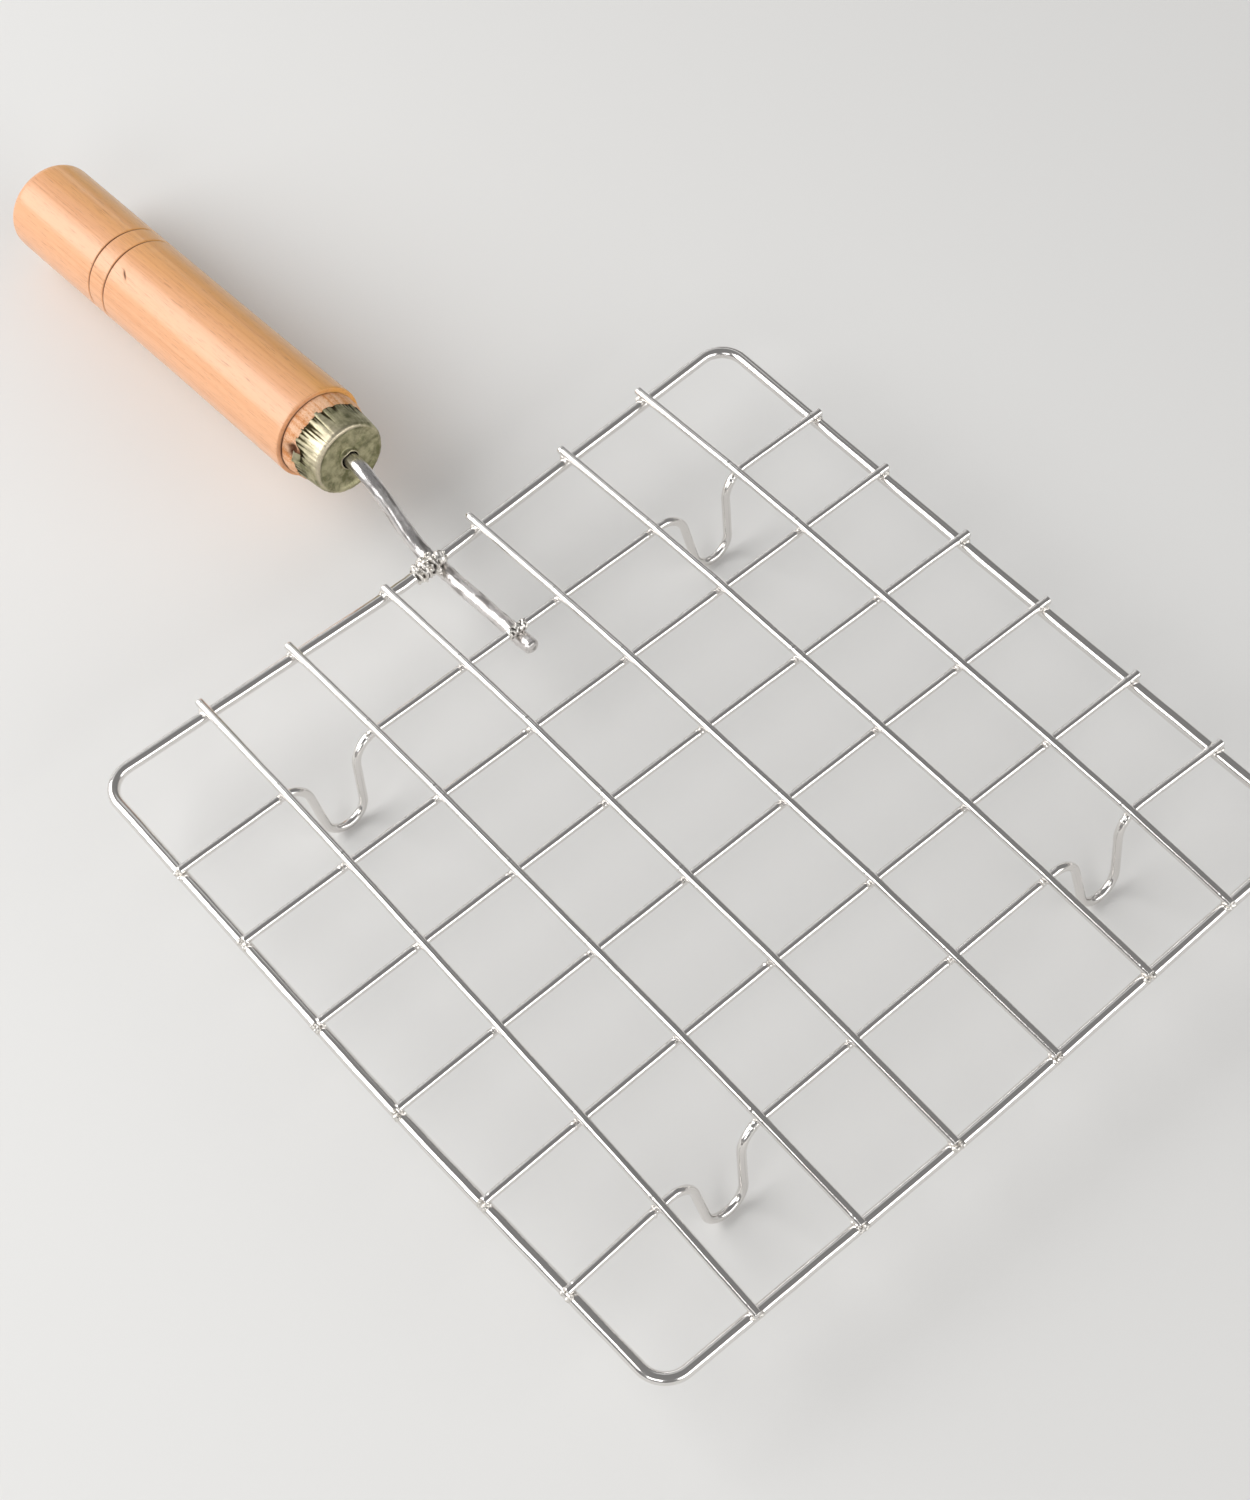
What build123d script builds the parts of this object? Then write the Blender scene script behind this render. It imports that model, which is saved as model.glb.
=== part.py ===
"""Square wire roasting grill with four bent-wire feet and a turned wooden handle.

Frame: +Z up, the handle points to -Y, the four feet stand on z = 0. Lengths in millimetres.
"""

import os
from math import atan, cos, degrees, radians

from build123d import *

# --- driving dimensions -----------------------------------------------------------------------
RIM_WIRE = 3.0  # diameter of the square rim's wire
RIM_HALF = 98.5  # centre of the grill to the rim wire's centreline, nominally
RIM_CORNER = 7.0  # centreline radius of the rim's corners
# The hand-bent rim's corners and the point each side is bent at, as (x, y). The welded rod has
# drawn the handle side inwards.
NEAR_LEFT, NEAR_RIGHT, FAR_RIGHT, FAR_LEFT = (98.0, -98.8), (-98.1, -98.9), (-97.8, 98.9), (97.8, 98.4)
NEAR_MID, RIGHT_MID, FAR_MID, LEFT_MID = (10.0, -95.1), (-97.45, 5.0), (10.0, 100.1), (99.3, 10.0)
NEAR_BEND, SIDE_BEND = 80.0, 1500.0  # centreline radius at those points
MESH_WIRE = 2.2  # diameter of the long and the cross wires
SET_DOWN = 0.15  # depth to which a resistance weld sinks one wire into the next

# Hand-placed wires: where each one meets the rim, measured from the grill's centre.
LONG_WIRE_X = [(68, 73), (42.5, 43.5), (15, 16), (-14, -14.5), (-44, -43.5), (-70.5, -69.5)]
CROSS_WIRE_Y = [(-66, -64), (-41.5, -40), (-14, -12), (14, 15), (43, 44), (70, 70)]
FOOT_WIRES = (0, 5)  # the first and the last cross wire carry the feet
CROSS_CROWN = 1.2  # rise of the four inner cross wires at mid length
CROWN_BEND = 150.0  # centreline radius where a long wire changes slope
LONG_OVERHANG = (2.8, 2.5, 1.2, 3.5, 2.6, 2.6)  # past the handle side of the rim
LONG_FAR_END = 100.3  # and are trimmed over the far side
CROSS_LEFT_END = 99.0  # the cross wires stop over the rim at +X
CROSS_RIGHT_END = -99.4  # and stick out past its middle at -X

FOOT_DEPTH = 22.0  # centre of a cross wire to the centre of its foot's lowest run
FOOT_LEAN = 10.0  # degrees the feet lean away from the handle
FOOT_X = (56.3, -59.8)  # middle of the two feet on a foot wire
FOOT_TOP_HALF = 7.5  # half width of a foot between its shoulders
FOOT_LOW_HALF = 5.0  # half width of a foot at the bottom
FOOT_TOP_BEND = 7.0  # centreline radius of the shoulders
FOOT_LOW_BEND = 5.5  # and of the two lower bends

ROD_D = 4.0  # handle rod
ROD_X = -1.0  # the rod is welded a little off the grill's centre line
ROD_END_Y = -59.5  # free end of the rod, past the first cross wire
ROD_BEND = 14.0  # centreline radius of the two bends outside the ferrule
ROD_UPPER_BEND_Y = -122.5
ROD_LOWER_BEND_Y = -103.5
ROD_BEVEL = 0.5
TANG = 64.0  # length of rod hidden in the ferrule and the wood

GRIP_D = 25.2
GRIP_LENGTH = 123.5  # butt to shoulder
GRIP_ROUND = 3.0  # rounding of the butt's edge
GRIP_TILT = 5.7  # degrees the grip drops towards its butt
GROOVES = (39.0, 45.6)  # distance of the two turned grooves from the butt
GROOVE_W = 0.7
GROOVE_DEPTH = 0.4
TENON_D = 22.8  # bare tenon next to the shoulder
STRIP = 4.0  # length of bare tenon between the shoulder and the ferrule
FERRULE_Y = -129.0  # front face of the ferrule
FERRULE_Z = 8.4  # height of the ferrule's axis there, above the rim's centreline

FERRULE_LENGTH = 9.2
FERRULE_BACK_D = 22.0
FERRULE_FRONT_D = 20.2
FERRULE_WALL = 0.5
FERRULE_FACE = 1.0  # lip of the front face down to the inside of the cup
FERRULE_DISH = 0.5  # depth of the face below its lip
FERRULE_HOLE_D = 6.2
FERRULE_ROUND = 0.8  # rounding of the front edge
COLLAR_H = 0.3  # burr raised round the hole
CRIMPS = 36
CRIMP_W = 0.5
CRIMP_DEPTH = 0.22
CRIMP_LENGTH = 6.5
DENT_R = 1.4  # torn dent at the open edge of the ferrule
DENT_ANGLE = 20.0  # degrees above the +X side

FLASH_R = 1.5  # flash round the resistance welds between the mesh wires and the rim
# The two hand welds, as runs of lumps along a wire: (end of the lump, its crest radius). The
# distances are along the wire from the rod's centre.
RIM_RUN_START, RIM_RUN = -1.8, [(1.1, 2.5), (3.7, 3.0), (6.1, 2.8), (8.1, 2.3)]
WIRE_RUN_START, WIRE_RUN = -3.6, [(-1.2, 1.8), (1.1, 1.6), (3.7, 1.85)]
LUMP_NECK = 0.35  # metal left on the wire where two lumps meet

# --- derived ----------------------------------------------------------------------------------
RIM_R, MESH_R, ROD_R, GRIP_R = RIM_WIRE / 2, MESH_WIRE / 2, ROD_D / 2, GRIP_D / 2
CROSS_Z = RIM_R + MESH_R - SET_DOWN  # cross wires lie on the rim
LONG_Z = CROSS_Z + MESH_WIRE - SET_DOWN  # long wires lie on the cross wires
RIM_Z = FOOT_DEPTH * cos(radians(FOOT_LEAN)) + MESH_R - CROSS_Z
AXIS_DIR = Vector(0, 1, 0).rotate(Axis.X, GRIP_TILT)  # from the butt towards the ferrule
FRONT_U = GRIP_LENGTH + STRIP + FERRULE_LENGTH  # butt to the ferrule's front face
FERRULE_U = GRIP_LENGTH + STRIP  # butt to the ferrule's open edge
BUTT_Y = FERRULE_Y - FRONT_U * AXIS_DIR.Y
BUTT_Z = FERRULE_Z - FRONT_U * AXIS_DIR.Z
LOW_Y = BUTT_Y - (GRIP_R - GRIP_ROUND) * AXIS_DIR.Z - GRIP_ROUND * (1 - AXIS_DIR.Y)


def side_offset(start, middle, end, radius, along):
    """Offset of one side of the rim at a distance along it; points are (along, offset)."""
    before = (middle[1] - start[1]) / (middle[0] - start[0])
    after = (end[1] - middle[1]) / (end[0] - middle[0])
    slope = before if (along - middle[0]) * (start[0] - middle[0]) > 0 else after
    reach = radius * abs(after - before) / 2
    rounding = max(0.0, reach - abs(along - middle[0])) ** 2 / (2 * radius)
    return middle[1] + slope * (along - middle[0]) - rounding


def near_rim_y(x):
    """Centreline of the handle side of the rim at x."""
    return side_offset(NEAR_LEFT, NEAR_MID, NEAR_RIGHT, NEAR_BEND, x)


def far_rim_y(x):
    """Centreline of the far side of the rim at x."""
    return side_offset(FAR_LEFT, FAR_MID, FAR_RIGHT, SIDE_BEND, x)


def left_rim_x(y):
    """Centreline of the +X side of the rim at y."""
    return side_offset(NEAR_LEFT[::-1], LEFT_MID[::-1], FAR_LEFT[::-1], SIDE_BEND, y)


def right_rim_x(y):
    """Centreline of the -X side of the rim at y."""
    return side_offset(NEAR_RIGHT[::-1], RIGHT_MID[::-1], FAR_RIGHT[::-1], SIDE_BEND, y)


# The origin is under the middle of the whole.
GRID_Y = -(LOW_Y + far_rim_y(FAR_MID[0]) + RIM_R) / 2
GRID_X = -(left_rim_x(LEFT_MID[1]) + RIM_R + NEAR_RIGHT[0] - RIM_R) / 2


def at(x, y, z):
    """A point given from the centre of the rim, in the part's frame."""
    return Vector(GRID_X + x, GRID_Y + y, RIM_Z + z)


def long_wire_x(index, y):
    """Centreline of a long wire at y, seen from above."""
    near, far = LONG_WIRE_X[index]
    return near + (far - near) * (y + RIM_HALF) / (2 * RIM_HALF)


def cross_wire_y(index, x):
    """Centreline of a cross wire at x, seen from above."""
    left, right = CROSS_WIRE_Y[index]
    return right + (left - right) * (x + RIM_HALF) / (2 * RIM_HALF)


def crown(x):
    """Rise of the inner cross wires at x."""
    return CROSS_CROWN * (1 - (x / RIM_HALF) ** 2)


def rod_z(y):
    """Centre of the rod's straight run, which passes under the rim and the first cross wire."""
    y0, z0 = near_rim_y(ROD_X), -(RIM_R + ROD_R - SET_DOWN)
    y1, z1 = cross_wire_y(0, ROD_X), CROSS_Z - (MESH_R + ROD_R - SET_DOWN)
    return z0 + (z1 - z0) * (y - y0) / (y1 - y0)


def wire(label, path, diameter):
    """A round wire along a path, cut square at both ends."""
    with BuildPart() as piece:
        with BuildSketch(Plane(origin=path @ 0, z_dir=path % 0)):
            Circle(diameter / 2)
        sweep(path=path)
    piece.part.label = label
    return piece.part


def save(part):
    """Write one piece to its own file."""
    export_step(part, f"parts/{part.label}.step")
    return part


def make_rim():
    """One closed loop of wire with rounded corners."""
    sides = [(FAR_RIGHT, RIGHT_MID), (NEAR_RIGHT, NEAR_MID), (NEAR_LEFT, LEFT_MID), (FAR_LEFT, FAR_MID)]
    corners = [at(x, y, 0) for side in sides for x, y in side]
    radii = [RIM_CORNER, SIDE_BEND, RIM_CORNER, NEAR_BEND, RIM_CORNER, SIDE_BEND, RIM_CORNER, SIDE_BEND]
    with BuildLine() as path:
        FilletPolyline(*corners, radius=radii, close=True)
    return wire("rim", path.wire(), RIM_WIRE)


def make_long_wire(index):
    """A wire parallel to the handle, lying over all six cross wires."""
    near_y, far_y = near_rim_y(LONG_WIRE_X[index][0]), far_rim_y(LONG_WIRE_X[index][1])
    stops = [cross_wire_y(cross, LONG_WIRE_X[index][0]) for cross in (0, 1, 4, 5)]
    lift = crown(LONG_WIRE_X[index][0])
    start_slope = (LONG_Z - CROSS_Z) / (stops[0] - near_y)
    end_slope = (LONG_Z - CROSS_Z) / (far_y - stops[3])
    overhang = LONG_OVERHANG[index]
    profile = [(near_y - overhang, CROSS_Z - start_slope * overhang)]
    profile += [(stops[0], LONG_Z), (stops[1], LONG_Z + lift)]
    profile += [(stops[2], LONG_Z + lift), (stops[3], LONG_Z)]
    profile += [(LONG_FAR_END, CROSS_Z - end_slope * (LONG_FAR_END - far_y))]
    with BuildLine() as path:
        FilletPolyline(*[at(long_wire_x(index, y), y, z) for y, z in profile], radius=CROWN_BEND)
    return wire(f"long_wire_{index + 1}", path.wire(), MESH_WIRE)


def make_cross_wire(index):
    """A wire across the grill. The first and the last one are bent down into two feet each."""
    left, right = CROSS_WIRE_Y[index]
    lean = FOOT_LEAN if index in FOOT_WIRES else 0.0
    along = Vector(2 * RIM_HALF, left - right, 0).normalized()
    up = Vector(0, 0, 1).rotate(Axis.X, lean)
    middle = at(0, (left + right) / 2, CROSS_Z)
    with BuildLine(Plane(origin=middle, x_dir=along, z_dir=along.cross(up))) as path:
        if index in FOOT_WIRES:
            bends = []
            for foot_x in FOOT_X:
                bends += [(foot_x + FOOT_TOP_HALF, 0), (foot_x + FOOT_LOW_HALF, -FOOT_DEPTH)]
                bends += [(foot_x - FOOT_LOW_HALF, -FOOT_DEPTH), (foot_x - FOOT_TOP_HALF, 0)]
            ends = [(CROSS_LEFT_END, 0), (CROSS_RIGHT_END, 0)]
            radii = [FOOT_TOP_BEND, FOOT_LOW_BEND, FOOT_LOW_BEND, FOOT_TOP_BEND] * 2
            FilletPolyline(ends[0], *bends, ends[1], radius=radii)
        else:
            ends = [(x, crown(x)) for x in (CROSS_LEFT_END, CROSS_RIGHT_END)]
            ThreePointArc(ends[0], (0, CROSS_CROWN), ends[1])
    return wire(f"cross_wire_{index + 1}", path.wire(), MESH_WIRE)


def make_handle_rod():
    """The rod: tang in the wood, a double bend down, then a straight run under the grill."""
    start = at(ROD_X, BUTT_Y, BUTT_Z) + AXIS_DIR * (FRONT_U - TANG)
    upper_z = FERRULE_Z + (ROD_UPPER_BEND_Y - FERRULE_Y) * AXIS_DIR.Z / AXIS_DIR.Y
    upper = at(ROD_X, ROD_UPPER_BEND_Y, upper_z)
    lower = at(ROD_X, ROD_LOWER_BEND_Y, rod_z(ROD_LOWER_BEND_Y))
    with BuildLine() as path:
        FilletPolyline(start, upper, lower, at(ROD_X, ROD_END_Y, rod_z(ROD_END_Y)), radius=ROD_BEND)
    with BuildPart() as rod:
        with BuildSketch(Plane(origin=path.wire() @ 0, z_dir=path.wire() % 0)):
            Circle(ROD_R)
        sweep(path=path.wire())
        chamfer(rod.edges().sort_by(Axis.Y)[-1], ROD_BEVEL)
    rod.part.label = "handle_rod"
    return rod.part


def handle_plane():
    """Sketch plane of the handle: x along its axis from the butt, y the radius."""
    return Plane(origin=at(ROD_X, BUTT_Y, BUTT_Z), x_dir=AXIS_DIR, z_dir=(1, 0, 0))


def ferrule_outline():
    """Half section of the ferrule as (distance from the butt, radius) corners."""
    back, front, hole = FERRULE_BACK_D / 2, FERRULE_FRONT_D / 2, FERRULE_HOLE_D / 2
    face, inside, burr = FRONT_U - FERRULE_DISH, FRONT_U - FERRULE_FACE, FRONT_U + COLLAR_H
    outer = [(FERRULE_U, back), (FRONT_U, front), (FRONT_U, front - 1.5), (face, front - 2.0)]
    collar = [(face, hole + 0.9), (burr, hole + 0.4), (burr, hole)]
    inner = [(inside, hole), (inside, front - FERRULE_WALL), (FERRULE_U, back - FERRULE_WALL)]
    return outer + collar + inner


def make_ferrule():
    """A tapered tinplate cup, crimped round its open edge, with a hole for the rod."""
    handle = handle_plane()
    mouth = Plane(handle.origin + AXIS_DIR * FERRULE_U, x_dir=(1, 0, 0), z_dir=AXIS_DIR)
    back, front = FERRULE_BACK_D / 2, FERRULE_FRONT_D / 2
    taper = degrees(atan((back - front) / FERRULE_LENGTH))
    crimp_z = CRIMP_LENGTH / 2 - 0.5
    crimp_r = back - crimp_z * (back - front) / FERRULE_LENGTH
    crimp = (2 * CRIMP_DEPTH, CRIMP_W, CRIMP_LENGTH)
    with BuildPart(mouth) as ferrule:
        with BuildSketch(handle):
            with BuildLine():
                Polyline(*ferrule_outline(), close=True)
            make_face()
        revolve(axis=Axis(handle.origin, AXIS_DIR))
        fillet(ferrule.edges().filter_by(is_front_edge), FERRULE_ROUND)
        with Locations((0, 0, crimp_z)):
            with PolarLocations(crimp_r, CRIMPS):
                Box(*crimp, rotation=(0, -taper, 0), mode=Mode.SUBTRACT)
        with Locations((0, 0, DENT_R / 2)):
            with PolarLocations(back, 1, start_angle=-DENT_ANGLE):
                Cylinder(DENT_R, 4 * FERRULE_WALL, rotation=(0, 90, 0), mode=Mode.SUBTRACT)
    ferrule.part.label = "ferrule"
    return ferrule.part


def is_front_edge(edge):
    """True for the sharp outer circle of the ferrule's front face."""
    return edge.geom_type == GeomType.CIRCLE and abs(edge.radius - FERRULE_FRONT_D / 2) < 1e-4


def make_wooden_handle():
    """A turned grip with two fine grooves, a shoulder and a tenon inside the ferrule."""
    handle = handle_plane()
    tenon_end = FRONT_U - FERRULE_FACE
    mouth_r = FERRULE_BACK_D / 2 - FERRULE_WALL
    end_r = FERRULE_FRONT_D / 2 - FERRULE_WALL
    outline = [(0, 0), (0, GRIP_R)]
    for groove in GROOVES:
        outline += [(groove - GROOVE_W / 2, GRIP_R), (groove, GRIP_R - GROOVE_DEPTH)]
        outline += [(groove + GROOVE_W / 2, GRIP_R)]
    outline += [(GRIP_LENGTH, GRIP_R), (GRIP_LENGTH + 0.3, TENON_D / 2)]
    outline += [(FERRULE_U, FERRULE_BACK_D / 2), (FERRULE_U, mouth_r), (tenon_end, end_r)]
    outline += [(tenon_end, ROD_R), (FRONT_U - TANG, ROD_R), (FRONT_U - TANG, 0)]
    with BuildPart() as grip:
        with BuildSketch(handle):
            with BuildLine():
                Polyline(*outline, close=True)
            make_face()
        revolve(axis=Axis(handle.origin, AXIS_DIR))
        fillet(grip.edges().sort_by(Axis(handle.origin, AXIS_DIR))[0], GRIP_ROUND)
    grip.part.label = "wooden_handle"
    return grip.part


def make_flash(label, spots, metal):
    """Small beads squeezed out round a row of resistance welds."""
    with BuildPart() as flash:
        with Locations(*spots):
            Sphere(FLASH_R)
        for piece in metal:
            add(piece, mode=Mode.SUBTRACT)
    flash.part.label = label
    return flash.part


def make_hand_weld(label, middle, along, wire_radius, start, lumps, rod):
    """A run of lumps round a wire, over the rod that it holds."""
    with BuildPart() as weld:
        with BuildSketch(Plane(middle, x_dir=along, z_dir=along.cross(Vector(0, 0, 1)))):
            with BuildLine():
                low = wire_radius + LUMP_NECK
                left = Line((start, wire_radius), (start, low)) @ 1
                for end, crest in lumps:
                    arc = ThreePointArc(left, ((left.X + end) / 2, crest), (end, low))
                    left = arc @ 1
                Polyline(left, (left.X, wire_radius), (start, wire_radius))
            make_face()
        revolve(axis=Axis(middle, along))
        add(rod, mode=Mode.SUBTRACT)
    weld.part.label = label
    return weld.part


def main():
    """Build every piece and write it out."""
    os.makedirs("parts", exist_ok=True)
    rim = save(make_rim())
    longs = [save(make_long_wire(index)) for index in range(len(LONG_WIRE_X))]
    crosses = [save(make_cross_wire(index)) for index in range(len(CROSS_WIRE_Y))]
    rod = save(make_handle_rod())
    save(make_ferrule())
    save(make_wooden_handle())

    rim_middle = at(ROD_X, near_rim_y(ROD_X), 0)
    along = Vector(NEAR_MID[0] - NEAR_RIGHT[0], NEAR_MID[1] - NEAR_RIGHT[1], 0).normalized()
    save(make_hand_weld("rod_rim_weld", rim_middle, along, RIM_R, RIM_RUN_START, RIM_RUN, rod))
    wire_middle = at(ROD_X, cross_wire_y(0, ROD_X), CROSS_Z)
    left, right = CROSS_WIRE_Y[0]
    along = Vector(2 * RIM_HALF, left - right, 0).normalized()
    save(
        make_hand_weld("rod_wire_weld", wire_middle, along, MESH_R, WIRE_RUN_START, WIRE_RUN, rod)
    )

    contact = RIM_R - SET_DOWN / 2
    spots = [at(x, near_rim_y(x), contact) for x, _ in LONG_WIRE_X]
    save(make_flash("long_wire_welds_near", spots, [rim, *longs]))
    spots = [at(x, far_rim_y(x), contact) for _, x in LONG_WIRE_X]
    save(make_flash("long_wire_welds_far", spots, [rim, *longs]))
    spots = [at(left_rim_x(left), left, contact) for left, _ in CROSS_WIRE_Y]
    save(make_flash("cross_wire_welds_left", spots, [rim, *crosses]))
    spots = [at(right_rim_x(right), right, contact) for _, right in CROSS_WIRE_Y]
    save(make_flash("cross_wire_welds_right", spots, [rim, *crosses]))


if __name__ == "__main__":
    main()
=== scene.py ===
"""Square roasting grill: a welded wire net on four bent feet, with a rod, a ferrule and a grip.

Sizes are in millimetres from the middle of the rim's centreline; meshes are written in metres.
"""

from __future__ import annotations

import logging
from dataclasses import dataclass, field
from enum import Enum
from math import cos, pi, radians, sin, tan, tau
from typing import Any

import bpy
import numpy as np
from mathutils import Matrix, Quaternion, Vector

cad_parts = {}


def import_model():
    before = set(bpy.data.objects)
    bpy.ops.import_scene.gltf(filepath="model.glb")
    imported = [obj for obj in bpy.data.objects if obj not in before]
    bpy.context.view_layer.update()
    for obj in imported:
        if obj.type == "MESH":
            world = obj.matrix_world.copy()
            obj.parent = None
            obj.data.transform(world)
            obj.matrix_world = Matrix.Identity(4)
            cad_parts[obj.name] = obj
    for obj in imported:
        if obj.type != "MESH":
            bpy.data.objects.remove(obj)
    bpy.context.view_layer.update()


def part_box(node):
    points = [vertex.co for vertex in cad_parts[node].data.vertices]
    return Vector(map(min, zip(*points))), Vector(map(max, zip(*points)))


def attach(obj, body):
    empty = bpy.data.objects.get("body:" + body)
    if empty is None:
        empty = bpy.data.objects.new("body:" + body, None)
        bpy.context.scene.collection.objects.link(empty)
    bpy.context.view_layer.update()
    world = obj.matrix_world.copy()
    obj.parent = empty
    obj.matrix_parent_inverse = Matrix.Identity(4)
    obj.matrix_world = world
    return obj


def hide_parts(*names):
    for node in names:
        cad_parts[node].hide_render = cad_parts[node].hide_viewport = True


Array = np.ndarray
Triple = tuple[float, float, float]
METRE = 0.001  # one millimetre, in Blender's metres
TINY = 1e-6  # lengths below this count as nothing, in millimetres
SLACK_BEND = 50.0  # bends wider than this need no finer rings, in millimetres
log = logging.getLogger("roasting_grill")


# --- shop helpers: sockets, nodes, coordinates ------------------------------------------
class Slot(Enum):
    """Names of the material slots."""

    WIRE = "bright_wire"
    ROD = "rod_wire"
    WELD = "weld_metal"
    TIN = "tinplate"
    BEECH = "beech"


class Value:
    """A number that varies over a surface; arithmetic on it adds Math nodes."""

    def __init__(self, recipe: Recipe, socket: bpy.types.NodeSocket) -> None:
        """Wrap a socket of the recipe's node tree."""
        self.recipe, self.socket = recipe, socket

    def _math(self, operation: str, first: Any, second: Any) -> Value:
        """Add one Math node.

        Args:
            operation: the node's operation.
            first: its first operand, a Value or a number.
            second: its second operand.

        Returns:
            The node's result.
        """
        node = self.recipe.node("ShaderNodeMath", {"operation": operation}, {0: first, 1: second})
        return Value(self.recipe, node.outputs[0])

    def __add__(self, other: Any) -> Value:
        """Sum."""
        return self._math("ADD", self, other)

    __radd__ = __add__

    def __sub__(self, other: Any) -> Value:
        """Difference."""
        return self._math("SUBTRACT", self, other)

    def __rsub__(self, other: Any) -> Value:
        """Difference, reflected."""
        return self._math("SUBTRACT", other, self)

    def __mul__(self, other: Any) -> Value:
        """Product."""
        return self._math("MULTIPLY", self, other)

    __rmul__ = __mul__

    def most(self, other: Any) -> Value:
        """Larger of the two."""
        return self._math("MAXIMUM", self, other)


class Recipe:
    """One material being mixed: its node tree and the few kinds of node it is made from."""

    def __init__(self, name: str) -> None:
        """Start an empty material."""
        self.material = bpy.data.materials.new(name)
        self.material.use_nodes = True
        self.tree = self.material.node_tree
        self.tree.nodes.clear()

    def node(self, kind: str, settings: dict[str, Any], sockets: dict[Any, Any]) -> bpy.types.Node:
        """Add a node of any kind.

        Args:
            kind: the node's type.
            settings: its properties, set first; "stops" are a ramp's (place, colour) pairs.
            sockets: values, sockets or Values for its inputs, by name or number.

        Returns:
            The new node.
        """
        node = self.tree.nodes.new(kind)
        for key, setting in settings.items():
            if key == "stops":
                stops = node.color_ramp.elements
                while len(stops) < len(setting):
                    stops.new(0.5)
                for stop, (place, colour) in zip(stops, setting):
                    stop.position, stop.color = place, colour
            else:
                setattr(node, key, setting)
        for key, source in sockets.items():
            if isinstance(source, Value):
                source = source.socket
            if isinstance(source, bpy.types.NodeSocket):
                self.tree.links.new(source, node.inputs[key])
            else:
                node.inputs[key].default_value = source
        return node

    def mark(self, name: str) -> Value:
        """A mask kept on the piece's own points."""
        attribute = self.node("ShaderNodeAttribute", {"attribute_name": name}, {})
        return Value(self, attribute.outputs["Fac"])

    def lay(self, scale: Triple) -> bpy.types.NodeSocket:
        """The piece's own coordinates (along, across, across), in millimetres, scaled."""
        place = self.node("ShaderNodeAttribute", {"attribute_name": "lay"}, {}).outputs["Vector"]
        settings = {"operation": "MULTIPLY"}
        return self.node("ShaderNodeVectorMath", settings, {0: place, 1: scale}).outputs[0]

    def noise(self, scale: Triple, detail: float = 3.0, rough: float = 0.55) -> Value:
        """Noise from 0 to 1, scale cells to a millimetre along and across the piece."""
        place = self.lay(scale)
        sockets = {"Vector": place, "Scale": 1.0, "Detail": detail, "Roughness": rough}
        return Value(self, self.node("ShaderNodeTexNoise", {}, sockets).outputs["Fac"])

    def cells(self, scale: Triple) -> Value:
        """Distance to the nearest of scattered points, one to a cell."""
        sockets = {"Vector": self.lay(scale), "Scale": 1.0}
        return Value(self, self.node("ShaderNodeTexVoronoi", {}, sockets).outputs["Distance"])

    def window(self, source: Value, low: float, high: float) -> Value:
        """A smooth step from 0 at low to 1 at high."""
        settings = {"interpolation_type": "SMOOTHSTEP"}
        sockets = {0: source, 1: low, 2: high, 3: 0.0, 4: 1.0}
        return Value(self, self.node("ShaderNodeMapRange", settings, sockets).outputs[0])

    def blend(self, share: Value, under: Any, over: Any) -> bpy.types.NodeSocket:
        """Mix two colours, the second by share."""
        sockets = {0: share, 6: under, 7: over}
        return self.node("ShaderNodeMix", {"data_type": "RGBA"}, sockets).outputs[2]

    def shade(self, colour: Any, share: Value) -> bpy.types.NodeSocket:
        """Multiply a colour by a grey share."""
        sockets = {0: 1.0, 6: colour, 7: share}
        settings = {"data_type": "RGBA", "blend_type": "MULTIPLY"}
        return self.node("ShaderNodeMix", settings, sockets).outputs[2]

    def relief(self, height: Value, depth: float, strength: float = 1.0) -> bpy.types.NodeSocket:
        """A bumped normal; depth is the height of a full step, in millimetres."""
        sockets = {"Height": height, "Distance": depth * METRE, "Strength": strength}
        return self.node("ShaderNodeBump", {}, sockets).outputs[0]

    def finish(self, sockets: dict[str, Any]) -> bpy.types.Material:
        """Close the recipe with its surface.

        Args:
            sockets: inputs of the surface shader.

        Returns:
            The finished material.
        """
        surface = self.node("ShaderNodeBsdfPrincipled", {}, sockets)
        self.node("ShaderNodeOutputMaterial", {}, {"Surface": surface.outputs[0]})
        return self.material

    def metal(self, colour: Any, rough: Value, normal: Any) -> bpy.types.Material:
        """Close the recipe as bare metal."""
        sockets = {"Base Color": colour, "Metallic": 1.0, "Roughness": rough, "Normal": normal}
        return self.finish(sockets)


def paint(red: int, green: int, blue: int) -> tuple[float, float, float, float]:
    """A screen colour of 0 to 255 as the linear colour that Blender takes."""
    shares = (np.array([red, green, blue]) / 255 + 0.055) / 1.055
    return (*(float(share) for share in shares**2.4), 1.0)


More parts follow.
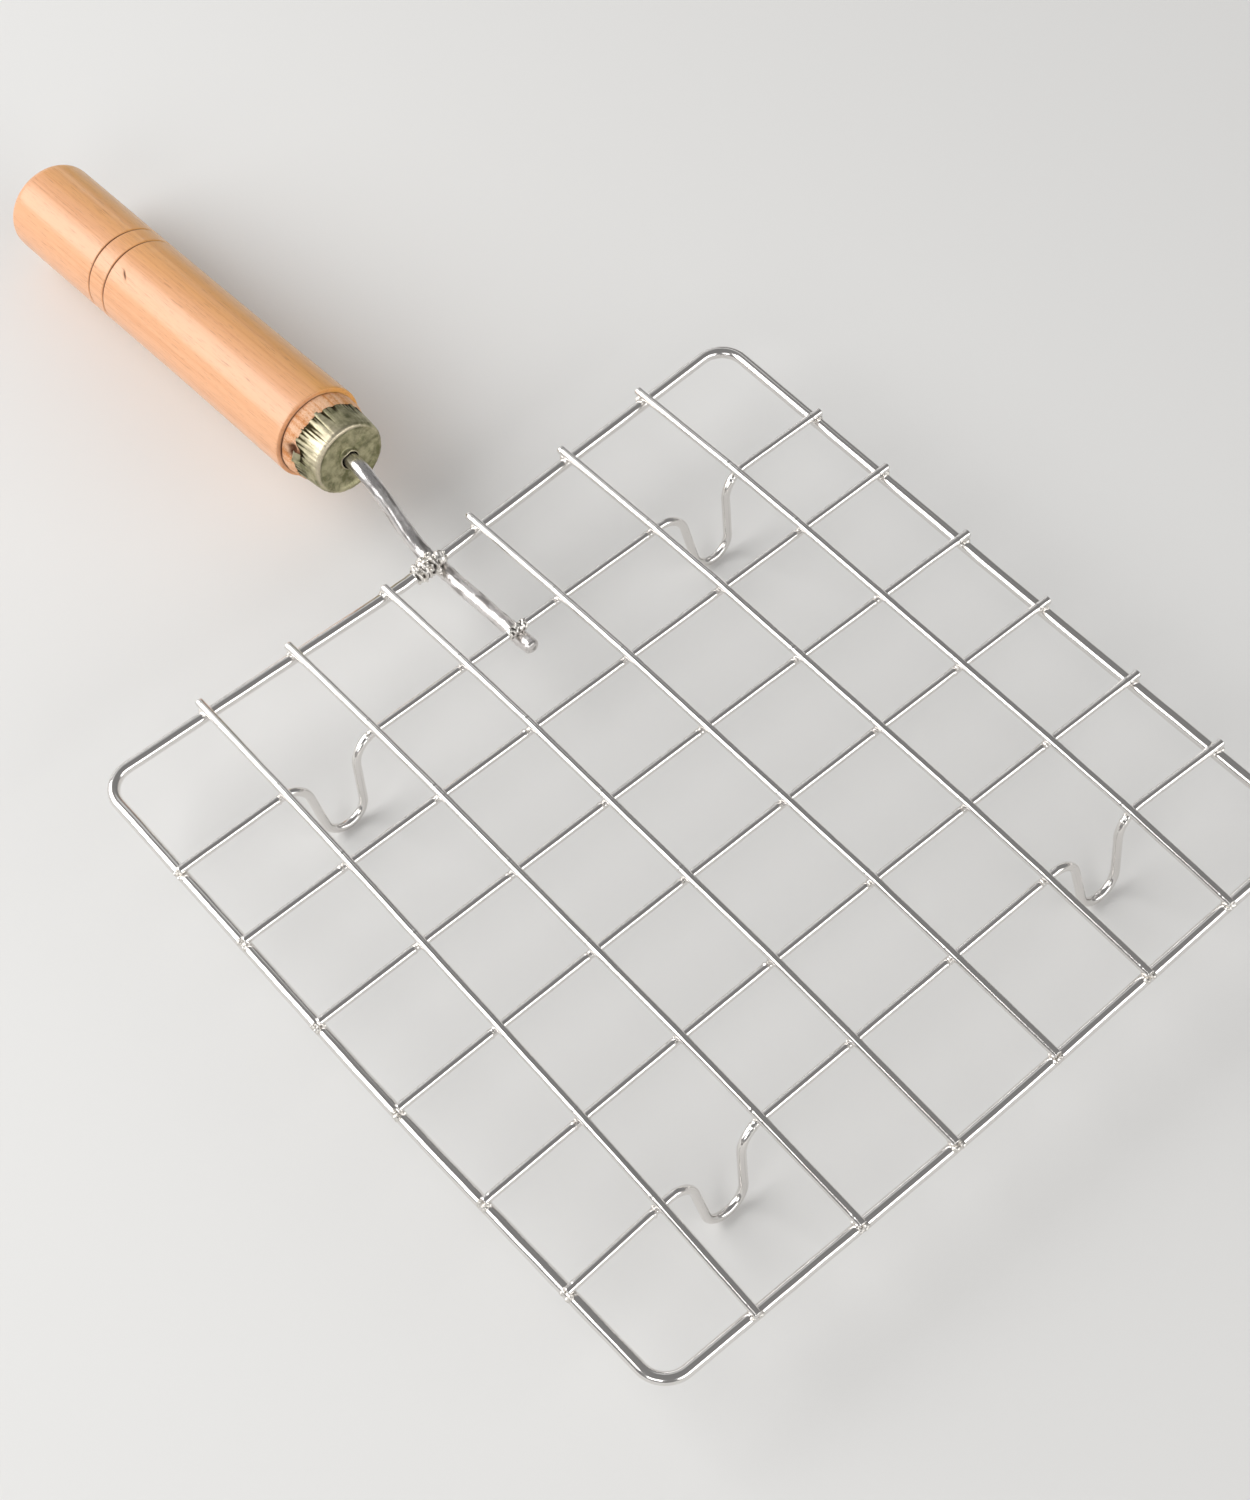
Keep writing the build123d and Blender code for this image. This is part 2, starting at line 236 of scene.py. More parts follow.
# --- finishes ---------------------------------------------------------------------------
@dataclass(frozen=True)
class BrightWire:
    """Bright plated drawn wire: fine lines along it, a little waviness, straw tint at the welds."""

    name: str = "bright_wire"
    plate: tuple = paint(232, 229, 226)
    stain: tuple = paint(150, 132, 108)
    soot: tuple = paint(64, 58, 54)
    polish: float = 0.13

    def mix(self) -> bpy.types.Material:
        """Build the material."""
        recipe = Recipe(self.name)
        heat = recipe.mark("heat")
        lines = recipe.noise((0.03, 4.0, 4.0), 2.0, 0.5)
        waves = recipe.noise((0.10, 0.5, 0.5), 2.0)
        specks = recipe.window(recipe.noise((1.6, 2.4, 2.4), 2.0), 0.70, 0.80)
        patch = recipe.noise((0.35, 0.7, 0.7), 3.0)
        tint = recipe.window(patch * 0.45 + heat, 0.42, 1.15)
        colour = recipe.blend(tint, self.plate, self.stain)
        colour = recipe.blend(recipe.window(heat * patch, 0.30, 0.62) * 0.7, colour, self.soot)
        colour = recipe.shade(colour, 1.0 - recipe.window(lines, 0.56, 0.78) * 0.22 - specks * 0.3)
        grain = recipe.relief(lines + waves * 2.0, 0.003, 0.85)
        return recipe.metal(colour, heat * 0.20 + lines * 0.05 + self.polish, grain)


@dataclass(frozen=True)
class RodPlate:
    """Thick rod with a rough plated skin: hammer-like mottling, pits and smoky streaks."""

    name: str = "rod_plate"
    plate: tuple = paint(226, 222, 220)
    smoke: tuple = paint(92, 84, 78)
    polish: float = 0.19

    def mix(self) -> bpy.types.Material:
        """Build the material."""
        recipe = Recipe(self.name)
        heat = recipe.mark("heat")
        lines = recipe.noise((0.10, 2.2, 2.2), 4.0, 0.6)
        dapple = recipe.noise((0.17, 0.65, 0.65), 2.5, 0.5)
        pits = recipe.window(recipe.cells((1.1, 1.6, 1.6)), 0.28, 0.06)
        smoke = recipe.window(dapple + heat * 0.15, 0.50, 0.64)
        colour = recipe.blend(smoke * 0.55, self.plate, self.smoke)
        colour = recipe.shade(colour, 1.0 - recipe.window(lines, 0.55, 0.75) * 0.25 - pits * 0.25)
        skin = recipe.relief(dapple * 4.5 + lines * 0.5 - pits * 0.3, 0.034, 1.0)
        return recipe.metal(colour, dapple * 0.22 + heat * 0.10 + self.polish, skin)


@dataclass(frozen=True)
class WeldBead:
    """Weld metal plated over: shiny lumps with scale, soot in the creases and painted shade
    underneath.
    """

    name: str = "weld_bead"
    crest: tuple = paint(232, 228, 222)
    scale: tuple = paint(122, 113, 102)
    soot: tuple = paint(52, 46, 42)

    def mix(self) -> bpy.types.Material:
        """Build the material."""
        recipe = Recipe(self.name)
        crease = recipe.mark("crease")
        crust = recipe.noise((2.2, 2.2, 2.2), 5.0, 0.65)
        beads = recipe.cells((1.5, 1.5, 1.5))
        colour = recipe.blend(recipe.window(crust, 0.50, 0.76) * 0.7, self.crest, self.scale)
        # The soot colour covers the creases and, as painted shade, the underside of the lumps.
        colour = recipe.blend(recipe.window(crease + crust * 0.5, 0.75, 1.25), colour, self.soot)
        skin = recipe.relief(crust * 1.4 + beads, 0.10, 0.9)
        return recipe.metal(colour, crust * 0.35 + crease * 0.2 + 0.08, skin)


@dataclass(frozen=True)
class Tinplate:
    """Thin tinplate: greenish grey, clouded, with painted highlight and wear, and painted shade in
    the crimps and inside.
    """

    name: str = "tinplate"
    sheet: tuple = paint(188, 182, 148)
    cloud: tuple = paint(104, 104, 70)
    wear_and_highlight_tone: tuple = paint(216, 204, 180)
    crimp_shade: tuple = paint(58, 50, 32)

    def mix(self) -> bpy.types.Material:
        """Build the material."""
        recipe = Recipe(self.name)
        crimp, rubbed = recipe.mark("crimp"), recipe.mark("rubbed")
        cloud = recipe.noise((0.35, 0.30, 0.30), 5.0, 0.62)
        lines = recipe.noise((0.14, 3.2, 3.2), 4.0, 0.6)
        scuffs = recipe.window(recipe.noise((1.2, 1.8, 1.8), 4.0, 0.7), 0.58, 0.72)
        colour = recipe.blend(recipe.window(cloud, 0.36, 0.68) * 0.85, self.sheet, self.cloud)
        # Painted highlight and wear: the rubbed mark brightens one side of the cup, its front edge,
        # the burr and the flap.
        wear_and_highlight = recipe.window(rubbed + lines * 0.3, 0.55, 1.15) * 0.8
        colour = recipe.blend(wear_and_highlight, colour, self.wear_and_highlight_tone)
        colour = recipe.shade(colour, 1.0 - recipe.window(lines, 0.5, 0.75) * 0.25 - scuffs * 0.15)
        # Painted shade: the crimp mark darkens the crimps, the face round the hole and the inside
        # of the cup.
        colour = recipe.blend(recipe.window(crimp + cloud * 0.4, 0.42, 1.0), colour, self.crimp_shade)
        skin = recipe.relief(cloud * 2.5 + lines * 0.6 + scuffs * 0.5, 0.06, 0.8)
        return recipe.metal(colour, cloud * 0.20 + crimp * 0.25 + 0.36, skin)


@dataclass(frozen=True)
class LacqueredBeech:
    """Turned beech under thin lacquer: grain, ray flecks, bare tenon, dark grooves, painted light
    and shade.
    """

    name: str = "lacquered_beech"
    # The tone turns from rosy on the lit side to straw on the far side: partly the beech's own
    # tone, partly painted light.
    rosy: tuple = paint(229, 169, 124)
    straw: tuple = paint(233, 168, 80)
    late: tuple = paint(196, 122, 58)
    fleck: tuple = paint(138, 80, 40)
    bare: tuple = paint(236, 196, 164)
    dark_line_and_shade: tuple = paint(92, 52, 26)

    def mix(self) -> bpy.types.Material:
        """Build the material."""
        recipe = Recipe(self.name)
        stain, bare, end = recipe.mark("stain"), recipe.mark("bare"), recipe.mark("end_grain")
        side = recipe.mark("side")
        figure = recipe.noise((0.012, 0.16, 0.16), 3.0)
        rings = recipe.noise((0.012, 1.2, 1.2), 4.0, 0.6)
        fibre = recipe.noise((0.16, 7.0, 7.0), 3.0, 0.6)
        dashes = recipe.window(recipe.noise((0.20, 5.0, 5.0), 2.0), 0.58, 0.70)
        specks = recipe.window(recipe.noise((0.10, 1.3, 1.3), 2.0), 0.66, 0.75)
        # Rosy on the lit side, straw on the far side: partly the beech's own tone, partly painted
        # light.
        colour = recipe.blend(recipe.window(side + figure * 0.6, 0.38, 1.0), self.rosy, self.straw)
        colour = recipe.blend(recipe.window(rings, 0.46, 0.72) * 0.36, colour, self.late)
        colour = recipe.blend(dashes * 0.36 + specks * 0.32, colour, self.fleck)
        colour = recipe.shade(colour, 1.06 - fibre * 0.14)
        growth = recipe.noise((0.0, 0.9, 0.22), 3.0)
        pores = recipe.noise((2.0, 5.0, 5.0), 3.0)
        open_grain = recipe.window(growth * 0.7 + pores * 0.5, 0.5, 0.75)
        raw = recipe.blend(open_grain, self.bare, self.late)
        colour = recipe.blend((bare * 0.75).most(end), colour, raw)
        # Dark lines in the grooves and the nick, and painted shade in the shoulder gap, the torn
        # place and the hidden tenon.
        colour = recipe.blend(recipe.window(stain + fibre * 0.25, 0.25, 0.95), colour, self.dark_line_and_shade)
        dull = bare.most(end).most(stain)
        skin = recipe.relief(fibre * 0.5 + dashes * -0.5 + pores * dull * 3.0, 0.035, 0.8)
        return recipe.finish(
            {
                "Base Color": colour,
                "Roughness": dull * 0.25 + fibre * 0.10 + 0.40,
                "Specular IOR Level": 0.3,
                "Coat Weight": (1.0 - dull) * 0.75,
                "Coat Roughness": 0.24,
                "Normal": skin,
            }
        )


@dataclass(frozen=True)
class PaleFloor:
    """Matt pale studio floor."""

    name: str = "pale_floor"
    tone: tuple = paint(226, 225, 223)

    def mix(self) -> bpy.types.Material:
        """Build the material."""
        recipe = Recipe(self.name)
        return recipe.finish({"Base Color": self.tone, "Roughness": 0.75})


# --- surfaces ---------------------------------------------------------------------------
@dataclass
class Skin:
    """A grid of points, in millimetres, that goes round in its columns.

    The rows either go round too, or the first and the last are closed by a fan to their middle.
    Marks are values on the points that the piece's material reads.
    """

    points: Array
    marks: dict[str, Array] = field(default_factory=dict)
    ring: bool = False

    def tables(self) -> tuple[Array, dict[str, Array], Array, Array]:
        """Points, marks, four-sided faces and lid triangles, facing outwards.

        A face joins each point to the next in its row and to the two below. The sum of
        p0 . (p1 x p2) over all triangles is six times the volume, and its sign says which way
        the faces look.
        """
        rows, cols = self.points.shape[:2]
        index = np.arange(rows * cols).reshape(rows, cols)
        below = np.roll(index, -1, axis=0)
        if not self.ring:
            index, below = index[:-1], below[:-1]
        quads = np.stack([index, np.roll(index, -1, 1), np.roll(below, -1, 1), below], -1)
        quads = quads.reshape(-1, 4)
        points = self.points.reshape(-1, 3)
        marks = {name: mark.reshape(rows * cols, -1) for name, mark in self.marks.items()}
        lids = np.zeros((0, 3), int)
        if not self.ring:
            first, last = np.arange(cols), np.arange(cols) + (rows - 1) * cols
            top, bottom = np.full(cols, rows * cols), np.full(cols, rows * cols + 1)
            lids = np.concatenate(
                [
                    np.stack([np.roll(first, -1), first, top], -1),
                    np.stack([last, np.roll(last, -1), bottom], -1),
                ]
            )
            points = np.vstack([points, points[first].mean(0), points[last].mean(0)])
            marks = {
                name: np.vstack([mark, mark[first].mean(0), mark[last].mean(0)])
                for name, mark in marks.items()
            }
        corners = np.concatenate([quads[:, :3], quads[:, [0, 2, 3]], lids])
        away = points - points.mean(0)
        a, b, c = (away[corners[:, k]] for k in range(3))
        if np.einsum("ij,ij->i", a, np.cross(b, c)).sum() < 0:
            quads, lids = quads[:, ::-1], lids[:, ::-1]
        return points, marks, quads, lids


def make_piece(
    name: str, skins: list[Skin], finish: bpy.types.Material, nodes: list[str]
) -> bpy.types.Object:
    """Put skins into one mesh and hand it to the frame.

    Args:
        name: the piece's name.
        skins: its surfaces.
        finish: its material.
        nodes: the CAD nodes it stands for, or none.

    Returns:
        The new object.
    """
    tables = [skin.tables() for skin in skins]
    starts = np.cumsum([0] + [len(table[0]) for table in tables])
    points = np.concatenate([table[0] for table in tables]) * METRE
    quads = np.concatenate([table[2] + start for table, start in zip(tables, starts)])
    lids = np.concatenate([table[3] + start for table, start in zip(tables, starts)])
    mesh = bpy.data.meshes.new(name)
    mesh.from_pydata(points.tolist(), [], quads.tolist() + lids.tolist())
    mesh.polygons.foreach_set("use_smooth", np.ones(len(mesh.polygons), bool))
    for mark in tables[0][1]:
        kept = np.concatenate([table[1][mark] for table in tables]).astype(np.float32)
        kind, key = ("FLOAT_VECTOR", "vector") if kept.shape[1] == 3 else ("FLOAT", "value")
        mesh.attributes.new(mark, kind, "POINT").data.foreach_set(key, kept.ravel())
    mesh.materials.append(finish)
    mesh.update()
    piece = bpy.data.objects.new(name, mesh)
    bpy.context.scene.collection.objects.link(piece)
    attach(piece, "root")
    if nodes:
        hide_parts(*nodes)
    log.info("%s: %d points, %d faces", name, len(mesh.vertices), len(mesh.polygons))
    return piece


def unit(vector: Array) -> Array:
    """The vector over its length."""
    return vector / np.linalg.norm(vector)


def turns_of(count: int) -> Array:
    """Angles of count points spread evenly round a ring."""
    return np.arange(count) / count * tau


def round_lay(along: Array, radius: Array, turn: Array) -> Array:
    """A turned piece's (along, across, across): radius times the cosine and sine of the turn."""
    across = radius * np.cos(turn), radius * np.sin(turn)
    return np.stack(np.broadcast_arrays(along, *across), -1)


def round_mark(rings: Array, sides: int) -> Array:
    """One value to a ring, repeated round it."""
    return np.repeat(rings[:, None], sides, 1)


def hump(place: Array, centre: float, width: float) -> Array:
    """A bell: e to the power of minus the squared distance over the squared width."""
    return np.exp(-(((place - centre) / width) ** 2))


def step(place: Array, low: float, high: float) -> Array:
    """A smooth step, 3t^2 - 2t^3, with t running from 0 at low to 1 at high."""
    share = np.clip((place - low) / (high - low), 0, 1)
    return share * share * (3 - 2 * share)


def turn_gap(angle: Array, centre: float) -> Array:
    """Angle from centre, wrapped to half a turn either way."""
    return (angle - centre + pi) % tau - pi


def ripple(
    along: Array, angle: Array, seed: int, lengths: tuple[float, float], lobes: int, count: int = 16
) -> Array:
    """Irregular waves that close round a piece.

    A sum of sines of (along / length + whole turns x angle + phase), with seeded lengths, whole
    turns and phases, divided by the root of half their count so that its spread is about one.

    Args:
        along: distances along the piece.
        angle: angles round it.
        seed: seed of the waves.
        lengths: shortest and longest wave along the piece.
        lobes: most waves round it.
        count: number of waves.

    Returns:
        The waves' height at each point.
    """
    draw = np.random.default_rng(seed)
    rate = tau / draw.uniform(*lengths, count)
    turns = draw.integers(-lobes, lobes + 1, count)
    phase = draw.uniform(0, tau, count)
    total = np.zeros(np.broadcast(along, angle).shape)
    for wave in range(count):
        total += np.sin(along * rate[wave] + angle * turns[wave] + phase[wave])
    return total / np.sqrt(count / 2)


@dataclass
class Path:
    """Straight runs joined by arcs, given by its corners and the radius at each."""

    corners: Array
    radius: Array
    closed: bool = False
    runs: list[tuple] = field(default_factory=list)
    length: float = 0.0

    def __post_init__(self) -> None:
        """Work out the runs and arcs.

        An arc of radius r that turns by a takes r tan(a / 2) off both runs at its corner.
        """
        corners = np.asarray(self.corners, float)
        count = len(corners)
        radius = np.broadcast_to(np.asarray(self.radius, float), (count,))
        bends = range(count) if self.closed else range(1, count - 1)
        start = (corners[0] + corners[-1]) / 2 if self.closed else corners[0]
        here = start
        for bend in bends:
            corner, after = corners[bend], corners[(bend + 1) % count]
            into, out = unit(corner - corners[bend - 1]), unit(after - corner)
            turn = np.arccos(np.clip(into @ out, -1, 1))
            cut = radius[bend] * tan(turn / 2)
            entry = corner - into * cut
            self._add_run(here, entry)
            side = unit(out - into * (out @ into))
            self.runs.append((self.length, radius[bend] * turn, entry, into, side, radius[bend]))
            self.length += radius[bend] * turn
            here = corner + out * cut
        self._add_run(here, start if self.closed else corners[-1])

    def _add_run(self, start: Array, end: Array) -> None:
        """Note a straight run."""
        span = float(np.linalg.norm(end - start))
        if span > TINY:
            self.runs.append((self.length, span, start, (end - start) / span, None, 0.0))
            self.length += span

    def at(self, s: Array) -> tuple[Array, Array]:
        """Places and directions at distances s.

        On a run: start + direction x distance. On an arc with t = distance / radius:
        start + radius (sin t direction + (1 - cos t) side).
        """
        s = s % self.length if self.closed else s
        place, heading = np.zeros((len(s), 3)), np.zeros((len(s), 3))
        for start, span, origin, into, side, radius in self.runs:
            last = start + span >= self.length - TINY
            here = (s >= start) & ((s < start + span) | last) | ((start == 0) & (s < 0))
            t = (s[here] - start)[:, None]
            if side is None:
                place[here], heading[here] = origin + into * t, into
            else:
                t = t / radius
                place[here] = origin + radius * (np.sin(t) * into + (1 - np.cos(t)) * side)
                heading[here] = np.cos(t) * into + np.sin(t) * side
        return place, heading

    def nearest(self, spots: Array) -> Array:
        """Distance along the path to the point nearest to each spot."""
        s = np.arange(0, self.length, 0.1)
        place, _ = self.at(s)
        return s[np.linalg.norm(place[None] - np.asarray(spots)[:, None], axis=2).argmin(1)]

    def stations(self, stride: float, spots: Array, reach: float, fine: float) -> Array:
        """Distances of the wire's rings: even steps, with finer ones on arcs and at spots.

        Args:
            stride: length of the even steps.
            spots: distances that get finer steps.
            reach: how far those go either way.
            fine: length of the finer steps.

        Returns:
            The distances in order, less those that fall together.
        """
        parts = [np.arange(0, self.length, stride), np.array([0.0, self.length])]
        for start, span, _, _, side, radius in self.runs:
            parts.append(np.array([start]))
            if side is not None and radius < SLACK_BEND:
                parts.append(start + np.linspace(0, span, max(8, int(span / (radius * 0.07)))))
        for spot in np.atleast_1d(spots):
            parts.append(spot + np.arange(-reach, reach + fine / 2, fine))
        merged = np.concatenate(parts)
        merged = np.sort(merged[(merged >= 0) & (merged <= self.length)])
        kept = merged[np.concatenate([[True], np.diff(merged) > 0.05])]
        return kept[kept < self.length - 0.02] if self.closed else kept


def carry_wire(
    path: Path, s: Array, across: Array, radius: Array, sides: int, lean: float = 0.0
) -> tuple[Array, Array]:
    """Carry a round section along a path that lies in one plane, or nearly so.

    Point = place + radius (cos a normal + sin a across), where across is square to the path's
    plane and normal is across x heading. An open wire gets its cut ends: rings that shrink to
    0.97, 0.88 and 0.5 of the radius, pushed along the wire by lean x radius x cos a.

    Args:
        path: the wire's centreline.
        s: distances of its rings.
        across: unit vector square to its plane.
        radius: ring radii, (rings,) or (rings, sides).
        sides: points in a ring.
        lean: slope of the cut ends.

    Returns:
        The grid of points and its (along, across, across) coordinates.
    """
    radius = np.broadcast_to(radius[:, None] if radius.ndim == 1 else radius, (len(s), sides))
    push = np.zeros(len(s))
    if not path.closed:
        shrink = np.array([0.50, 0.88, 0.97])
        inset = np.array([0.0, 0.0, 0.09])
        head, tail = np.searchsorted(s, 0.25), np.searchsorted(s, path.length - 0.25)
        body = radius[head:tail]
        radius = np.vstack([body[:1] * shrink[:, None], body, body[-1:] * shrink[::-1, None]])
        s = np.concatenate([inset, s[head:tail], path.length - inset[::-1]])
        push = lean * (np.exp(-s / 0.4) + np.exp(-(path.length - s) / 0.4))
    angle = turns_of(sides)
    place, heading = path.at(s)
    normal = np.cross(across, heading)
    ring = np.cos(angle)[None, :, None] * normal[:, None] + np.sin(angle)[None, :, None] * across
    points = place[:, None] + radius[..., None] * ring
    points = points + (push[:, None] * radius * np.cos(angle))[..., None] * heading[:, None]
    flat = np.broadcast_to(s[:, None], radius.shape)
    lay = np.stack([flat, radius * np.cos(angle), radius * np.sin(angle)], -1)
    return points, lay


def nodule(centre: Array, size: Array, seed: int, rough: float = 0.16, fine: int = 12) -> Skin:
    """A lump of metal: an ellipsoid whose radius is 1 + rough x waves over its surface.

    Args:
        centre: its middle.
        size: its three half sizes.
        seed: seed of its waves.
        rough: height of the waves as a share of the radius.
        fine: rings from pole to pole; twice as many points round.

    Returns:
        Its surface.
    """
    polar = np.linspace(0.12, pi - 0.12, fine)[:, None]
    angle = turns_of(2 * fine)[None]
    swell = 1 + rough * ripple(polar, angle, seed, (1.2, 4.0), 3, 9) * np.sin(polar)
    across = np.sin(polar) * np.cos(angle), np.sin(polar) * np.sin(angle)
    shape = np.stack([*across, np.cos(polar) + 0 * angle], -1)
    points = centre + shape * swell[..., None] * size
    # Darker in the lump's hollows (soot) and on its underside (painted shade).
    crease = np.clip(1.15 - swell, 0, 1) * 0.6 + 0.25 * (shape[..., 2] < -0.3)
    return Skin(points, {"lay": points, "crease": crease})


# --- the plan: where every wire runs ----------------------------------------------------
@dataclass(frozen=True)
class Plan:
    """Sizes that the sub-assemblies share, and the places worked out from them."""

    middle: Triple = (0.0, 0.0, 0.0)
    rim_wire: float = 1.5
    rim_half: float = 98.5
    rim_corner: float = 7.0
    near_left: tuple = (98.0, -98.8)
    near_right: tuple = (-98.1, -98.9)
    far_right: tuple = (-97.8, 98.9)
    far_left: tuple = (97.8, 98.4)
    near_mid: tuple = (10.0, -95.1)
    right_mid: tuple = (-97.45, 5.0)
    far_mid: tuple = (10.0, 100.1)
    left_mid: tuple = (99.3, 10.0)
    near_bend: float = 80.0
    side_bend: float = 1500.0
    mesh_wire: float = 1.1
    sunk: float = 0.15
    long_x: tuple = ((68, 73), (42.5, 43.5), (15, 16), (-14, -14.5), (-44, -43.5), (-70.5, -69.5))
    cross_y: tuple = ((-66, -64), (-41.5, -40), (-14, -12), (14, 15), (43, 44), (70, 70))
    cross_sway: tuple = (0.0, 0.8, 0.0, -0.3, -0.75, -1.9)
    cross_crown: float = 1.2
    footed: tuple[int, int] = (0, 5)
    rod_x: float = -1.0
    rod_wire: float = 2.0
    tilt: float = 5.7
    ferrule_y: float = -129.0
    ferrule_z: float = 8.4
    grip_length: float = 123.5
    strip: float = 4.0
    ferrule_length: float = 9.2
    torn_turn: float = radians(22)

    @classmethod
    def from_rim(cls, low: Vector, high: Vector) -> Plan:
        """The plan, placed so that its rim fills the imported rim's box.

        Args:
            low: lowest corner of the box, in metres.
            high: highest corner.

        Returns:
            The placed plan.
        """
        plan = cls()
        reach = (plan.left_rim_x(plan.left_mid[1]), plan.far_rim_y(plan.far_mid[0]))
        x, y = (high[k] / METRE - reach[k] - plan.rim_wire for k in range(2))
        return cls(middle=(x, y, (low[2] + high[2]) / 2 / METRE))

    @property
    def cross_z(self) -> float:
        """Height of the cross wires over the rim."""
        return self.rim_wire + self.mesh_wire - self.sunk

    @property
    def long_z(self) -> float:
        """Height of the long wires over the outer cross wires."""
        return self.cross_z + 2 * self.mesh_wire - self.sunk

    @property
    def rod_rim(self) -> Array:
        """Where the rod passes the rim, at the height of the rim's centreline."""
        return self.at(self.rod_x, self.near_rim_y(self.rod_x), 0)

    @property
    def rod_wire_y(self) -> float:
        """Where the rod passes the first cross wire."""
        return self.cross_wire_y(0, self.rod_x)

    @property
    def near_slope(self) -> float:
        """Slope of the rim where the rod is welded to it."""
        mid, corner = self.near_mid, self.near_right
        return (mid[1] - corner[1]) / (mid[0] - corner[0])

    @property
    def ferrule_edge(self) -> float:
        """Distance from the butt to the ferrule's open edge."""
        return self.grip_length + self.strip

    @property
    def axis(self) -> Array:
        """Direction of the handle from its butt to its ferrule."""
        return np.array([0.0, cos(radians(self.tilt)), sin(radians(self.tilt))])

    @property
    def butt(self) -> Array:
        """Middle of the handle's butt."""
        front = self.at(self.rod_x, self.ferrule_y, self.ferrule_z)
        return front - self.axis * (self.ferrule_edge + self.ferrule_length)

    def at(self, x: float, y: float, z: float) -> Array:
        """A point given from the middle of the rim."""
        return np.array([x, y, z]) + np.array(self.middle)

    @staticmethod
    def side_offset(start: tuple, middle: tuple, end: tuple, radius: float, along: float) -> float:
        """Offset of one side of the rim, two straight runs joined by an arc at its middle.

        Args:
            start: one corner as (along, offset).
            middle: the point that the side is bent at.
            end: the other corner.
            radius: radius of the bend.
            along: where the offset is wanted.

        Returns:
            The run's offset less the arc's, (reach - distance) squared / (2 radius).
        """
        before = (middle[1] - start[1]) / (middle[0] - start[0])
        after = (end[1] - middle[1]) / (end[0] - middle[0])
        slope = before if (along - middle[0]) * (start[0] - middle[0]) > 0 else after
        reach = radius * abs(after - before) / 2
        rounding = max(0.0, reach - abs(along - middle[0])) ** 2 / (2 * radius)
        return middle[1] + slope * (along - middle[0]) - rounding

    def near_rim_y(self, x: float) -> float:
        """Handle side of the rim at x, drawn inwards by the welded rod."""
        return self.side_offset(self.near_left, self.near_mid, self.near_right, self.near_bend, x)

    def far_rim_y(self, x: float) -> float:
        """Far side of the rim at x."""
        return self.side_offset(self.far_left, self.far_mid, self.far_right, self.side_bend, x)

    def left_rim_x(self, y: float) -> float:
        """The +X side of the rim at y."""
        corners = self.near_left[::-1], self.left_mid[::-1], self.far_left[::-1]
        return self.side_offset(*corners, self.side_bend, y)

    def right_rim_x(self, y: float) -> float:
        """The -X side of the rim at y."""
        corners = self.near_right[::-1], self.right_mid[::-1], self.far_right[::-1]
        return self.side_offset(*corners, self.side_bend, y)

    def long_wire_x(self, index: int, y: float) -> float:
        """Long wire seen from above: a straight line between its two ends."""
        near, far = self.long_x[index]
        return near + (far - near) * (y + self.rim_half) / (2 * self.rim_half)

    def cross_wire_y(self, index: int, x: float) -> float:
        """Cross wire seen from above: a line between its two ends, plus its sideways bow."""
        left, right = self.cross_y[index]
        straight = right + (left - right) * (x + self.rim_half) / (2 * self.rim_half)
        return straight + self.bow(index, x)

    def bow(self, index: int, x: float) -> float:
        """Sideways bow: sway x (1 - |x / half| squared), or to the fourth for a wire with feet."""
        power = 4 if index in self.footed else 2
        return self.cross_sway[index] * (1 - abs(x / self.rim_half) ** power)

    def crossing(self, wire: int, cross: int) -> tuple[float, float]:
        """Where a long wire passes over a cross wire, found in one step from its handle end."""
        x = self.long_wire_x(wire, self.cross_wire_y(cross, self.long_x[wire][0]))
        return x, self.cross_wire_y(cross, x)

    def crown(self, x: float) -> float:
        """Rise of the inner cross wires, a shallow parabola."""
        return self.cross_crown * (1 - (x / self.rim_half) ** 2)

    def rod_z(self, y: float) -> float:
        """Centre of the rod's straight run, under the rim and the first cross wire."""
        rim_y, rim_z = self.near_rim_y(self.rod_x), -(self.rim_wire + self.rod_wire - self.sunk)
        wire_z = self.cross_z - (self.mesh_wire + self.rod_wire - self.sunk)
        return rim_z + (wire_z - rim_z) * (y - rim_y) / (self.rod_wire_y - rim_y)


